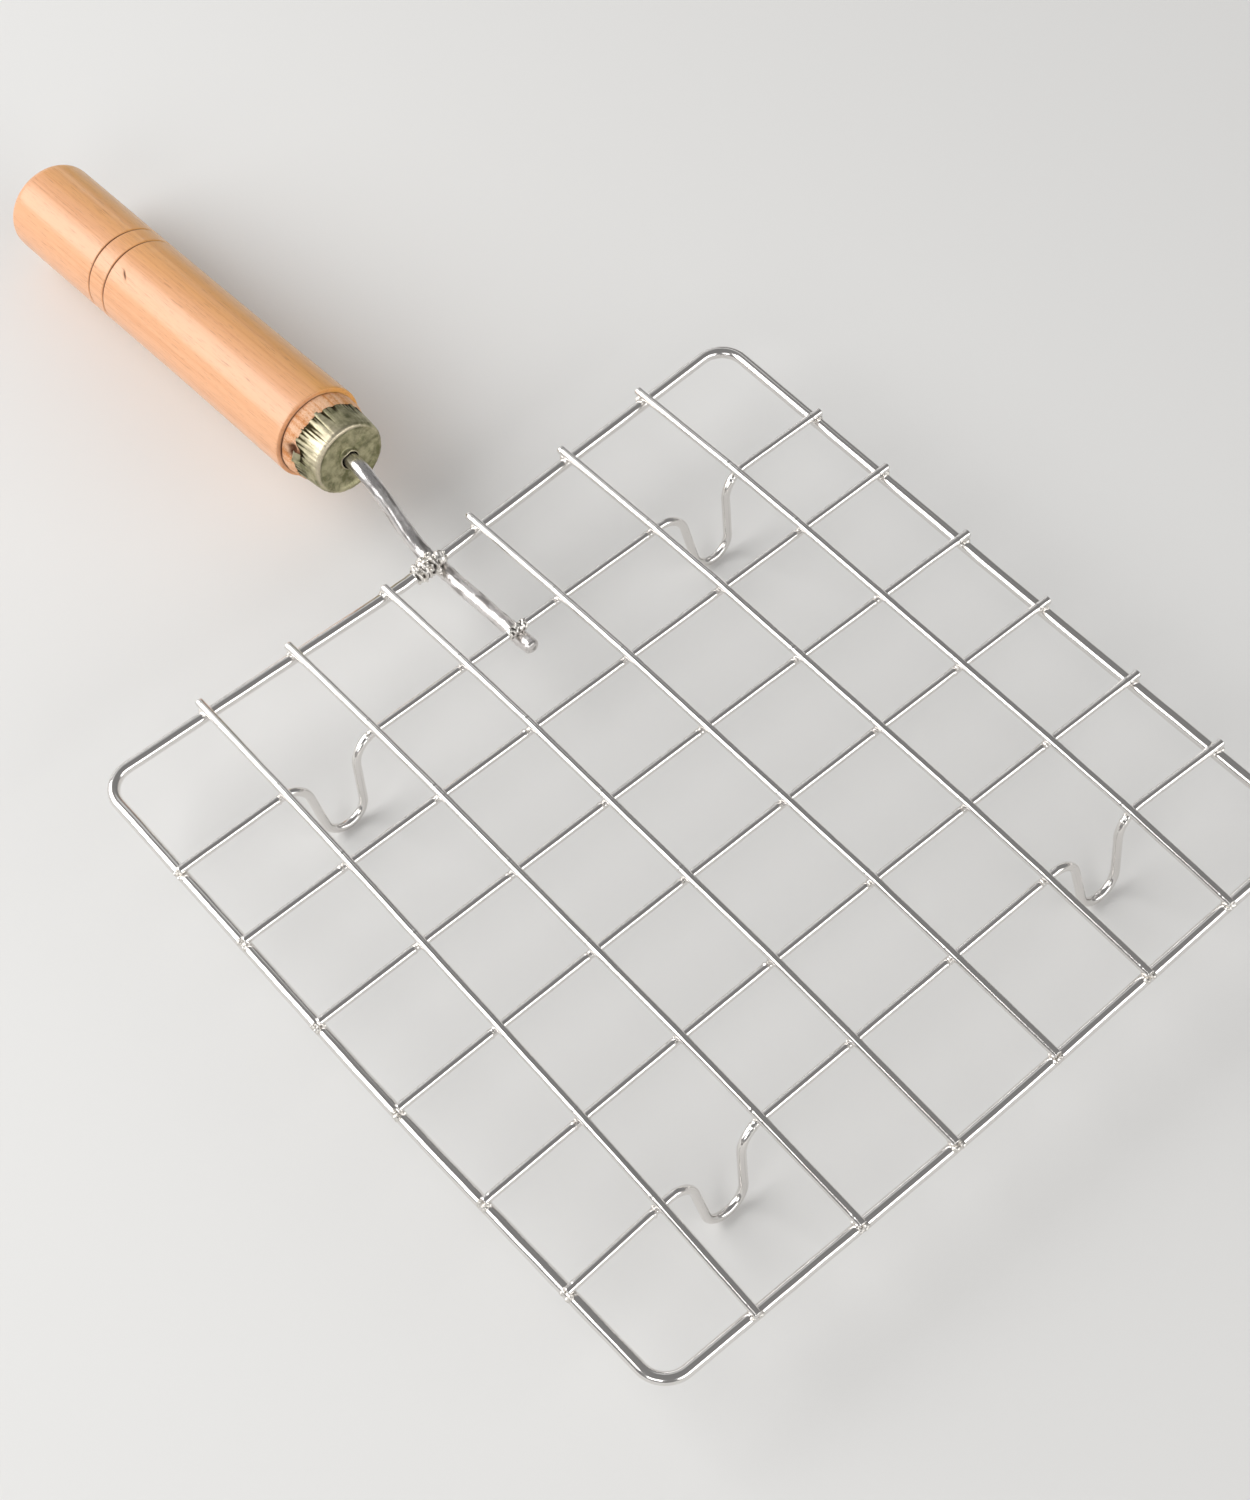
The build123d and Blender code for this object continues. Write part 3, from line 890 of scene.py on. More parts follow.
@dataclass
class WireNet:
    """The rim, six long and six cross wires, with the metal squeezed out at their welds."""

    plan: Plan
    finish: bpy.types.Material
    bead: bpy.types.Material
    overhang: tuple = (2.8, 2.5, 1.2, 3.5, 2.6, 2.6)
    far_end: float = 100.3
    left_end: float = 99.0
    right_end: float = -99.4
    foot_depth: float = 22.0
    foot_lean: float = 10.0
    foot_x: tuple[float, float] = (56.3, -59.8)
    foot_top: float = 7.5
    foot_low: float = 5.0
    foot_bends: tuple[float, float] = (7.0, 5.5)
    squeezed: tuple = (  # nodules at a weld on the rim: outwards, sideways, up, half size
        (0.85, 0.80, -0.40, 0.92),
        (0.80, -0.75, -0.40, 0.85),
        (-1.15, -0.25, -0.20, 0.70),
        (-0.50, 1.00, -0.10, 0.55),
    )
    crown_bend: float = 150.0
    bow_top: float = -0.2
    long_lip: float = 0.035
    cross_lip: float = 0.20
    rim_sides: int = 24
    wire_sides: int = 20

    def build(self) -> None:
        """Make every wire and every row of beads."""
        self.make_rim()
        for index in range(len(self.plan.long_x)):
            self.make_long_wire(index)
            self.make_cross_wire(index)
        self.make_rim_beads()
        self.make_crossing_beads()

    def contacts(self) -> tuple[Array, Array, Array, Array]:
        """Where wires are welded to the rim: near, far, left and right rows."""
        plan, z = self.plan, self.plan.rim_wire - self.plan.sunk / 2
        near = [plan.at(x, plan.near_rim_y(x), z) for x, _ in plan.long_x]
        far = [plan.at(x, plan.far_rim_y(x), z) for _, x in plan.long_x]
        left = [plan.at(plan.left_rim_x(y), y, z) for y, _ in plan.cross_y]
        right = [plan.at(plan.right_rim_x(y), y, z) for _, y in plan.cross_y]
        return np.array(near), np.array(far), np.array(left), np.array(right)

    def make_rim(self) -> None:
        """One closed loop with rounded corners and a drawn-in handle side.

        Its radius is nominal + small waves; heat is a bell round each weld and a wide one where
        the rod is welded.
        """
        plan = self.plan
        corners = [plan.far_right, plan.right_mid, plan.near_right, plan.near_mid]
        corners += [plan.near_left, plan.left_mid, plan.far_left, plan.far_mid]
        radii = [plan.rim_corner, plan.side_bend, plan.rim_corner, plan.near_bend]
        radii += [plan.rim_corner, plan.side_bend] * 2
        path = Path([plan.at(x, y, 0) for x, y in corners], radii, closed=True)
        welds = path.nearest(np.concatenate(self.contacts()))
        rod = path.nearest(plan.rod_rim[None])[0]
        s = path.stations(1.4, np.append(welds, rod), 3.0, 0.3)
        angle = turns_of(self.rim_sides)
        heat = sum(hump(s, weld, 2.2) for weld in welds) * 0.6 + hump(s, rod + 4.0, 11.0) * 0.85
        swell = ripple(s[:, None], angle, 11, (9, 40), 2) * 0.012
        scorched = hump(s, rod + 5.0, 9.0)[:, None]
        swell += scorched * ripple(s[:, None], angle, 12, (1.2, 4), 4) * 0.05
        radius = plan.rim_wire + swell
        points, lay = carry_wire(path, s, np.array([0.0, 0.0, 1.0]), radius, self.rim_sides)
        marks = {"lay": lay, "heat": round_mark(heat, self.rim_sides)}
        make_piece("grill_rim", [Skin(points, marks, ring=True)], self.finish, ["rim"])

    def open_wire(
        self, name: str, path: Path, across: Array, welds: Array, seed: int, node: str, notch: float
    ) -> None:
        """Make one mesh wire.

        Its radius is nominal + small waves + at each weld a notch on the side nearer to the start,
        with a lip of squeezed metal before it and a smaller one behind.

        Args:
            name: name of the piece.
            path: its centreline.
            across: unit vector square to its plane.
            welds: distances of its welds.
            seed: seed of its waves.
            node: the CAD node it stands for.
            notch: height of the lips.
        """
        draw = np.random.default_rng(seed)
        s = path.stations(1.6, welds, 2.6, 0.17)
        angle = turns_of(self.wire_sides)
        swell = ripple(s[:, None], angle, seed, (7, 30), 2) * 0.009
        heat = np.zeros(len(s))
        for weld in welds:
            lip, pinch = draw.uniform(0.5, 1.2, 2)
            lobes = 0.6 + 0.4 * np.cos(angle - draw.uniform(0, tau))
            bulge = hump(s, weld - 1.95, 0.34) * lip - hump(s, weld - 1.40, 0.25) * 0.9 * pinch
            bulge += hump(s, weld + 1.60, 0.35) * 0.45 * pinch
            swell = swell + notch * bulge[:, None] * lobes
            heat = heat + hump(s, weld, 2.0) * draw.uniform(0.45, 0.9)
        radius, lean = self.plan.mesh_wire + swell, draw.uniform(-0.12, 0.12)
        points, lay = carry_wire(path, s, across, radius, self.wire_sides, lean)
        offset = np.array([draw.uniform(0, 900), 0.0, 0.0])
        grown = np.interp(lay[:, 0, 0], s, heat)
        marks = {"lay": lay + offset, "heat": round_mark(grown, self.wire_sides)}
        make_piece(name, [Skin(points, marks)], self.finish, [node])

    def make_long_wire(self, index: int) -> None:
        """A wire parallel to the handle, over the cross wires, its ends bent down to the rim."""
        plan = self.plan
        (near_x, far_x), overhang = plan.long_x[index], self.overhang[index]
        near_y, far_y, lift = plan.near_rim_y(near_x), plan.far_rim_y(far_x), plan.crown(near_x)
        stops = [plan.cross_wire_y(cross, near_x) for cross in (0, 1, 4, 5)]
        rise = plan.long_z - plan.cross_z
        start = plan.cross_z - rise / (stops[0] - near_y) * overhang
        end = plan.cross_z - rise / (far_y - stops[3]) * (self.far_end - far_y)
        profile = [(near_y - overhang, start), (stops[0], plan.long_z)]
        profile += [(stops[1], plan.long_z + lift), (stops[2], plan.long_z + lift)]
        profile += [(stops[3], plan.long_z), (self.far_end, end)]
        corners = [plan.at(plan.long_wire_x(index, y), y, z) for y, z in profile]
        path = Path(corners, self.crown_bend)
        spots = []
        for cross in range(len(plan.cross_y)):
            _, y = plan.crossing(index, cross)
            spots.append(plan.at(plan.long_wire_x(index, y), y, plan.long_z))
        spots += [plan.at(near_x, near_y, plan.cross_z), plan.at(far_x, far_y, plan.cross_z)]
        name = f"long_wire_{index + 1}"
        across = unit(np.array([1.0, -(far_x - near_x) / (2 * plan.rim_half), 0.0]))
        welds = path.nearest(np.array(spots))
        self.open_wire(f"grill_{name}", path, across, welds, 100 + index, name, self.long_lip)

    def make_cross_wire(self, index: int) -> None:
        """A wire across the grill.

        The outer two are bent down into two feet each. The others are one wide arc, whose
        corner lies at twice the crown and twice the sway, so that its middle has each once.
        """
        plan = self.plan
        left, right = plan.cross_y[index]
        along = unit(np.array([2 * plan.rim_half, left - right, 0.0]))
        feet = index in plan.footed
        lean = radians(self.foot_lean) if feet else 0.0
        up = np.array([0.0, -sin(lean), cos(lean)])
        up = unit(up - along * (up @ along))
        middle = plan.at(0, (left + right) / 2, plan.cross_z)
        if feet:
            bends = [(self.left_end, 0.0)]
            for x in self.foot_x:
                bends += [(x + self.foot_top, 0.0), (x + self.foot_low, -self.foot_depth)]
                bends += [(x - self.foot_low, -self.foot_depth), (x - self.foot_top, 0.0)]
            bends += [(self.right_end, 0.0)]
            sway = [plan.bow(index, min(x, plan.rim_half)) for x, _ in bends]
            top, low = self.foot_bends
            radius = [0.0] + [top, low, low, top] * 2 + [0.0]
        else:
            bends = [(self.left_end, plan.crown(self.left_end))]
            bends += [(self.bow_top, 2 * plan.cross_crown)]
            bends += [(self.right_end, plan.crown(self.right_end))]
            sway = [0.0, 2 * plan.cross_sway[index], 0.0]
            radius = plan.rim_half * self.left_end / np.hypot(2 * plan.cross_crown, sway[1])
        ahead = np.array([0.0, 1.0, 0.0])
        corners = [middle + along * x + up * z + ahead * y for (x, z), y in zip(bends, sway)]
        path = Path(corners, radius)
        wires = range(len(plan.long_x))
        spots = [plan.at(*plan.crossing(wire, index), plan.cross_z) for wire in wires]
        spots.append(plan.at(plan.left_rim_x(left), left, plan.cross_z))
        spots.append(plan.at(plan.right_rim_x(right), right, plan.cross_z))
        welds = path.nearest(np.array(spots))
        name, across = f"cross_wire_{index + 1}", np.cross(along, up)
        self.open_wire(f"grill_{name}", path, across, welds, 200 + index, name, self.cross_lip)

    def make_rim_beads(self) -> None:
        """Nodules squeezed out round each weld on the rim, four to a weld."""
        rows = {
            "long_wire_welds_near": (0, -1),
            "long_wire_welds_far": (0, 1),
            "cross_wire_welds_left": (1, 0),
            "cross_wire_welds_right": (-1, 0),
        }
        for row, ((name, end), spots) in enumerate(zip(rows.items(), self.contacts())):
            draw = np.random.default_rng(300 + row)
            outward = np.array([*end, 0.0])
            sideways = np.array([-end[1], end[0], 0.0])
            lumps = []
            for number, spot in enumerate(spots):
                for out, side, low, big in self.squeezed:
                    jitter = draw.uniform(-0.22, 0.22, 3)
                    centre = spot + outward * (out + jitter[0]) + sideways * (side + jitter[1])
                    centre = centre + np.array([0.0, 0.0, low + jitter[2] * 0.6])
                    size = big * draw.uniform(0.75, 1.1, 3)
                    seed = 1000 * (row + 1) + 10 * number + int(out * 4) + 9
                    lumps.append(nodule(centre, size, seed))
            make_piece(f"{name}_beads", lumps, self.bead, [name])

    def make_crossing_beads(self) -> None:
        """Two tiny nodules at each crossing of the net, one each side of the long wire."""
        plan, draw, lumps = self.plan, np.random.default_rng(350), []
        for cross in range(len(plan.cross_y)):
            for wire in range(len(plan.long_x)):
                x, y = plan.crossing(wire, cross)
                lift = 0.0 if cross in plan.footed else plan.crown(x)
                spot = plan.at(x, y, plan.cross_z + plan.mesh_wire + lift - 0.05)
                for side in (0.95, -0.85):
                    shift = [side + draw.uniform(-0.15, 0.15), draw.uniform(-0.5, 0.5), -0.12]
                    centre = spot + np.array(shift)
                    size = np.array([0.42, 0.50, 0.30]) * draw.uniform(0.75, 1.15, 3)
                    lumps.append(nodule(centre, size, 5000 + 12 * cross + wire, 0.14, 7))
        make_piece("crossing_weld_beads", lumps, self.bead, [])


@dataclass
class HandleRod:
    """The bent rod and the two hand-made welds that hold it under the net."""

    plan: Plan
    finish: bpy.types.Material
    bead: bpy.types.Material
    end_y: float = -59.5
    bend: float = 14.0
    upper_y: float = -122.5
    lower_y: float = -103.5
    bevel: float = 0.5
    tang: float = 20.0
    sides: int = 40
    sleeve_slope: float = 0.03
    sleeve_grid: tuple[int, int] = (90, 48)
    rim_run: tuple = ((-1.8, 1.1, 2.0), (1.1, 3.7, 2.9), (3.7, 6.1, 2.8), (6.1, 8.1, 2.3))
    wire_run: tuple = ((-2.8, -1.0, 1.32), (-1.0, 1.0, 1.2), (1.0, 3.2, 1.4))

    def build(self) -> None:
        """Make the rod, its welds and the spatter."""
        self.make_rod()
        self.make_rim_weld()
        self.make_wire_weld()

    def make_rod(self) -> None:
        """The rod: straight out of the handle, two bends, then along under the net.

        Its radius is nominal + long waves of hand bending + short hammer marks, and it is bevelled
        at its free end.
        """
        plan = self.plan
        front = plan.ferrule_edge + plan.ferrule_length
        start = plan.butt + plan.axis * (front - self.tang)
        upper_z = plan.ferrule_z + (self.upper_y - plan.ferrule_y) * tan(radians(plan.tilt))
        corners = [start, plan.at(plan.rod_x, self.upper_y, upper_z)]
        corners += [plan.at(plan.rod_x, y, plan.rod_z(y)) for y in (self.lower_y, self.end_y)]
        path = Path(corners, self.bend)
        under_rim = plan.at(plan.rod_x, plan.near_rim_y(plan.rod_x), -plan.rod_wire)
        under_wire = plan.at(plan.rod_x, plan.rod_wire_y, 0.0)
        rim_s, wire_s = path.nearest(np.array([under_rim, under_wire]))
        s = path.stations(0.4, np.array([path.length - 1.0]), 1.2, 0.1)
        angle, along = turns_of(self.sides), s[:, None]
        marks = ripple(along, angle, 41, (7, 20), 2) * 0.036
        marks = marks + ripple(along, angle, 42, (1.2, 5.0), 4, 24) * 0.018
        near_weld = (hump(s, rim_s, 5.0) + hump(s, wire_s, 3.5))[:, None]
        marks = marks * (1 + 0.9 * near_weld)
        bevel = self.bevel * np.clip(1 - (path.length - s) / self.bevel, 0, 1)[:, None]
        radius = plan.rod_wire + marks - bevel * 0.9
        points, lay = carry_wire(path, s, np.array([1.0, 0.0, 0.0]), radius, self.sides, 0.10)
        heat = np.interp(lay[:, 0, 0], s, near_weld[:, 0] + 0.25 * hump(s, wire_s + 6, 4.0))
        skin = Skin(points, {"lay": lay, "heat": round_mark(heat, self.sides)})
        make_piece("welded_rod", [skin], self.finish, ["handle_rod"])

    def sleeve(self, middle: Array, wire: float, runs: tuple, seed: int) -> Skin:
        """Lumps run together round a wire.

        Radius = wire + a half sine over each lump up to its crest, x (1 + waves), and it sinks into
        the wire at both ends.

        Args:
            middle: point of the wire over the rod.
            wire: the wire's radius.
            runs: (start, end, crest radius) of each lump along +X.
            seed: seed of the waves.

        Returns:
            The sleeve's surface.
        """
        rings, sides = self.sleeve_grid
        s, angle = np.linspace(runs[0][0], runs[-1][1], rings), turns_of(sides)
        crest = np.zeros(len(s))
        for start, end, top in runs:
            share = np.clip((s - start) / (end - start), 0, 1)
            crest = np.maximum(crest, np.sin(share * pi) ** 0.7 * (top - wire))
        rough = ripple(s[:, None], angle, seed, (0.9, 2.6), 5, 30)
        fade = step(s, s[0], s[0] + 0.5) * (1 - step(s, s[-1] - 0.5, s[-1]))
        radius = wire - 0.05 + (crest[:, None] + 0.12) * (0.82 + 0.20 * rough) * fade[:, None]
        x = middle[0] + s[:, None] + 0 * angle
        y = middle[1] + s[:, None] * self.sleeve_slope + radius * np.cos(angle)
        points = np.stack([x, y, middle[2] + radius * np.sin(angle)], -1)
        crease = np.clip(0.5 - 0.45 * rough, 0, 1) * 0.9
        return Skin(points, {"lay": points, "crease": crease})

    def clusters(
        self, middle: Array, runs: tuple, count: int, seed: int, sizes: tuple[float, float]
    ) -> list[Skin]:
        """Scatter nodules over a sleeve, most of them on top and at the sides.

        Args:
            middle: point of the wire over the rod.
            runs: (start, end, crest radius) of each lump along +X.
            count: number of nodules.
            seed: seed of their places.
            sizes: smallest and largest half size.

        Returns:
            The nodules.
        """
        draw, lumps = np.random.default_rng(seed), []
        for number in range(count):
            start, end, top = runs[draw.integers(len(runs))]
            along = draw.uniform(start, end)
            turn = pi / 2 + draw.normal(0, 1.25)
            big = draw.uniform(*sizes)
            reach = top - big * draw.uniform(0.35, 0.75)
            drift = along * self.plan.near_slope
            centre = middle + np.array([along, drift + reach * cos(turn), reach * sin(turn)])
            size = big * draw.uniform(0.8, 1.2, 3)
            lumps.append(nodule(centre, size, seed + 7 * number, 0.18, 9))
        return lumps

    def make_rim_weld(self) -> None:
        """The large weld at the rim, heaped to the +X side of the rod, with spatter beyond it."""
        plan, draw = self.plan, np.random.default_rng(61)
        middle = plan.rod_rim
        skins = [self.sleeve(middle, plan.rim_wire, self.rim_run, 51)]
        skins += self.clusters(middle, self.rim_run[1:], 34, 52, (0.36, 0.80))
        skins += self.clusters(middle, self.rim_run[:1], 5, 53, (0.25, 0.42))
        for reach, height in ((-2.2, 0.3), (-2.9, -0.2), (-2.6, -1.0)):
            centre = middle + np.array([reach, draw.uniform(-0.8, 0.8), height])
            skins.append(nodule(centre, draw.uniform(0.40, 0.70, 3), int(70 + reach * 4), 0.16, 9))
        for _ in range(14):  # beads thrown along the far edge of the rod
            ahead = draw.uniform(1.6, 13.0)
            side = draw.uniform(0.55, 1.35)
            lift = -plan.rim_wire - plan.rod_wire + plan.rod_wire * cos(side)
            spot = middle + np.array([-plan.rod_wire * sin(side), ahead, lift + ahead * 0.045])
            size = np.full(3, draw.uniform(0.12, 0.30))
            skins.append(nodule(spot, size, int(ahead * 90), 0.12, 6))
        make_piece("rod_to_rim_weld", skins, self.bead, ["rod_rim_weld"])

    def make_wire_weld(self) -> None:
        """The small weld at the first cross wire: a blob each side of the rod."""
        plan = self.plan
        middle = plan.at(plan.rod_x, plan.rod_wire_y, plan.cross_z)
        skins = [self.sleeve(middle, plan.mesh_wire, self.wire_run, 55)]
        skins += self.clusters(middle, self.wire_run, 7, 56, (0.16, 0.30))
        make_piece("rod_to_wire_weld", skins, self.bead, ["rod_wire_weld"])


@dataclass
class Ferrule:
    """A tapered tinplate cup crimped over the tenon, torn at one place of its open edge."""

    plan: Plan
    finish: bpy.types.Material
    back: float = 11.0
    front: float = 10.1
    wall: float = 0.5
    face: float = 1.0
    dish: float = 0.5
    hole: float = 2.25
    edge: float = 0.8
    collar: float = 0.3
    crimps: int = 58
    crimp_reach: float = 8.8
    crimp_depth: float = 0.30
    dish_width: float = 1.3
    burr_width: float = 0.95
    tear_depth: float = 2.9
    columns: int = 520

    def build(self) -> None:
        """Make the cup and the torn flap."""
        make_piece("ferrule_cup", [self.cup(), self.flap()], self.finish, ["ferrule"])

    def outline(self) -> tuple[Array, Array]:
        """Closed half section, from the open edge over the front and back inside.

        Returns:
            Distances from the open edge and radii.
        """
        length = self.plan.ferrule_length
        wall = np.concatenate([np.linspace(0, 2.4, 16), np.linspace(2.7, length - self.edge, 20)])
        rim = np.linspace(0, pi / 2, 8)[1:]
        x = [wall, length - self.edge + self.edge * np.sin(rim)]
        r = [self.back + (self.front - self.back) * wall / length]
        r.append(self.front - self.edge + self.edge * np.cos(rim))
        lip = np.linspace(0, 1, 8)[1:]
        x.append(length - self.dish * (3 * lip**2 - 2 * lip**3))
        r.append(self.front - self.edge - self.dish_width * lip)
        floor = np.linspace(0, 1, 14)[1:]
        r_floor = self.front - self.edge - self.dish_width
        x.append(np.full(13, length - self.dish))
        r.append(r_floor + (self.hole + self.burr_width - r_floor) * floor)
        burr = np.linspace(0, 1, 7)[1:]
        x.append(length - self.dish + (self.dish + self.collar) * np.sin(burr * pi / 2) ** 1.5)
        r.append(self.hole + self.burr_width - 0.72 * burr)
        x.append(np.array([length + self.collar, length + self.collar - 0.12, length - self.face]))
        r.append(np.array([self.hole + 0.12, self.hole, self.hole]))
        inside = self.front - self.wall
        x.append(np.array([length - self.face, length - self.face]))
        r.append(np.array([self.hole + 2.0, inside - 0.4]))
        back = np.array([length - self.face - 0.4, 4.0, 2.0, 1.0, 0.3, 0.0])
        x.append(back)
        mouth = self.back - self.wall
        r.append(mouth + (inside - mouth) * back / (length - self.face))
        return np.concatenate(x), np.concatenate(r)

    def flutes(self, x: Array, angle: Array) -> Array:
        """Irregular V-shaped crimps, widest and deepest at the open edge, dying out forwards.

        The sum over the crimps of depth x (1 - x / reach)^0.9 x e^-(gap / width)^1.4, with the
        width shrinking towards the front.

        Args:
            x: distances from the open edge.
            angle: angles round the cup.

        Returns:
            Depth of the crimps, about 1 at its most.
        """
        draw = np.random.default_rng(71)
        total = np.zeros(np.broadcast(x, angle).shape)
        for number in range(self.crimps):
            centre = (number + draw.uniform(-0.38, 0.38)) * tau / self.crimps
            reach = self.crimp_reach * draw.uniform(0.35, 1.15)
            fade = np.clip(1 - x / reach, 0, 1)
            width = draw.uniform(0.020, 0.052) * (0.40 + 0.60 * fade)
            gap = np.abs(turn_gap(angle, centre + 0.02 * draw.normal() * x / reach))
            total += draw.uniform(0.4, 1.15) * fade**0.9 * np.exp(-((gap / width) ** 1.4))
        return total

    def cup(self) -> Skin:
        """Revolve the outline and press the crimps, waves and tear into it."""
        plan = self.plan
        x, r = self.outline()
        x, r, turn = x[:, None], r[:, None], turns_of(self.columns)[None]
        ahead = np.clip(x, 0, None)
        flutes = self.flutes(ahead, turn)
        wall = step(r, self.front - 1.6, self.front - 0.9)
        tear = np.exp(-(np.abs(turn_gap(turn, plan.torn_turn + 0.05) / 0.15) ** 3.0))
        ragged = 0.10 * ripple(x * 0, turn, 72, (5, 9), 26, 22) + 0.42 * np.clip(flutes, 0, 1)
        edge = np.exp(-ahead / 1.3)
        x_new = x + (ragged * edge * 0.9 + self.tear_depth * tear * np.exp(-ahead / 2.2)) * wall
        dent = np.exp(-(turn_gap(turn, plan.torn_turn) / 0.22) ** 2) * hump(x, 2.2, 1.8)
        waves = ripple(x, turn, 73, (6, 20), 9, 20) * 0.045
        ridge = ripple(x * 0.2, turn, 74, (8, 20), 60, 40) * 0.034
        radius = r - wall * (self.crimp_depth * flutes + 0.45 * dent) + wall * (waves * 0.6 + ridge)
        radius = radius + wall * 0.10 * np.exp(-ahead / 0.7)
        floor = 1 - step(r, self.front - 2.6, self.front - 1.6)
        off = step(r, self.hole + 0.3, self.hole + 1.2)
        x_new = x_new + floor * off * (waves * 1.6 + ripple(r, turn, 75, (3, 8), 3, 12) * 0.05)
        burr = (1 - off) * np.clip(x - plan.ferrule_length + 0.4, 0, 1)
        x_new = x_new + burr * (ripple(x * 0, turn, 76, (5, 9), 6, 12) * 0.16 + 0.12)
        points = around_handle(plan, plan.ferrule_edge + x_new, radius, turn)
        pleats = self.flutes(ahead * 0.55, turn)
        # Painted shade: dark lines along the crimps, reaching past the pressed flutes, in the dent,
        # on the face round the hole and over the inside.
        crimp = np.clip(flutes + pleats * 0.6, 0, 1) ** 0.8 * wall + dent * wall * 0.25
        crimp = crimp + floor * off * 0.18
        inside = (np.arange(len(x)) > len(x) - 12)[:, None]
        lip = (1 - off) * 0.20 * (x < plan.ferrule_length - 0.3) * floor
        crimp = np.maximum(crimp, inside * 0.9) + lip
        # Painted highlight: a bright band on one side of the cup, centred 54 degrees round it, kept
        # off the crimps.
        painted_highlight = np.clip(np.cos(turn_gap(turn, radians(54))), 0, 1) ** 1.6
        rubbed = wall * painted_highlight * 0.8 * np.clip(1 - flutes, 0, 1)
        # Front edge and burr are brighter too: part wear, part painted highlight.
        rubbed = rubbed + hump(r, self.front - 0.6, 0.55) * 0.65 + burr * 1.2
        lay = round_lay(x_new, radius, turn)
        marks = {"lay": lay, "crimp": crimp, "rubbed": rubbed * ~inside}
        return Skin(points, marks, ring=True)

    def flap(self) -> Skin:
        """The torn tongue, a thin strip carried along a curl and tapering to its tip."""
        plan = self.plan
        t = np.linspace(0, 1, 22)[:, None]
        angle = turns_of(24)[None]
        width = 1.05 * (1 - 0.55 * t**2) + 0.05
        x = 3.0 - 2.3 * t + 0.9 * t**3
        r = self.back - 0.30 + 1.25 * np.sin(t * 2.3)
        lean_x, lean_r = np.gradient(x[:, 0])[:, None], np.gradient(r[:, 0])[:, None]
        size = np.hypot(lean_x, lean_r)
        thick = 0.16 * np.sin(angle) * (1 + 0.2 * np.cos(3 * angle))
        x = x - thick * lean_r / size
        r = r + thick * lean_x / size * -1 + 0.12 * np.cos(angle) ** 2
        turn = plan.torn_turn - 0.04 + (width * np.cos(angle)) / self.back + 0.10 * t
        points = around_handle(plan, plan.ferrule_edge + x, r, turn)
        none = np.zeros(points.shape[:2])
        # The flap is brighter towards its tip: part wear, part painted highlight.
        marks = {"lay": round_lay(x, r, turn), "crimp": none + 0.1, "rubbed": none + 0.4 + 0.6 * t}
        return Skin(points, marks)


def around_handle(plan: Plan, along: Array, radius: Array, turn: Array) -> Array:
    """Points round the handle's axis: butt + along x axis + radius (cos t X + sin t up)."""
    right = np.array([1.0, 0.0, 0.0])
    up = np.cross(right, plan.axis)
    along, radius, turn = np.broadcast_arrays(along, radius, turn)
    spread = np.cos(turn)[..., None] * right + np.sin(turn)[..., None] * up
    return plan.butt + along[..., None] * plan.axis + radius[..., None] * spread


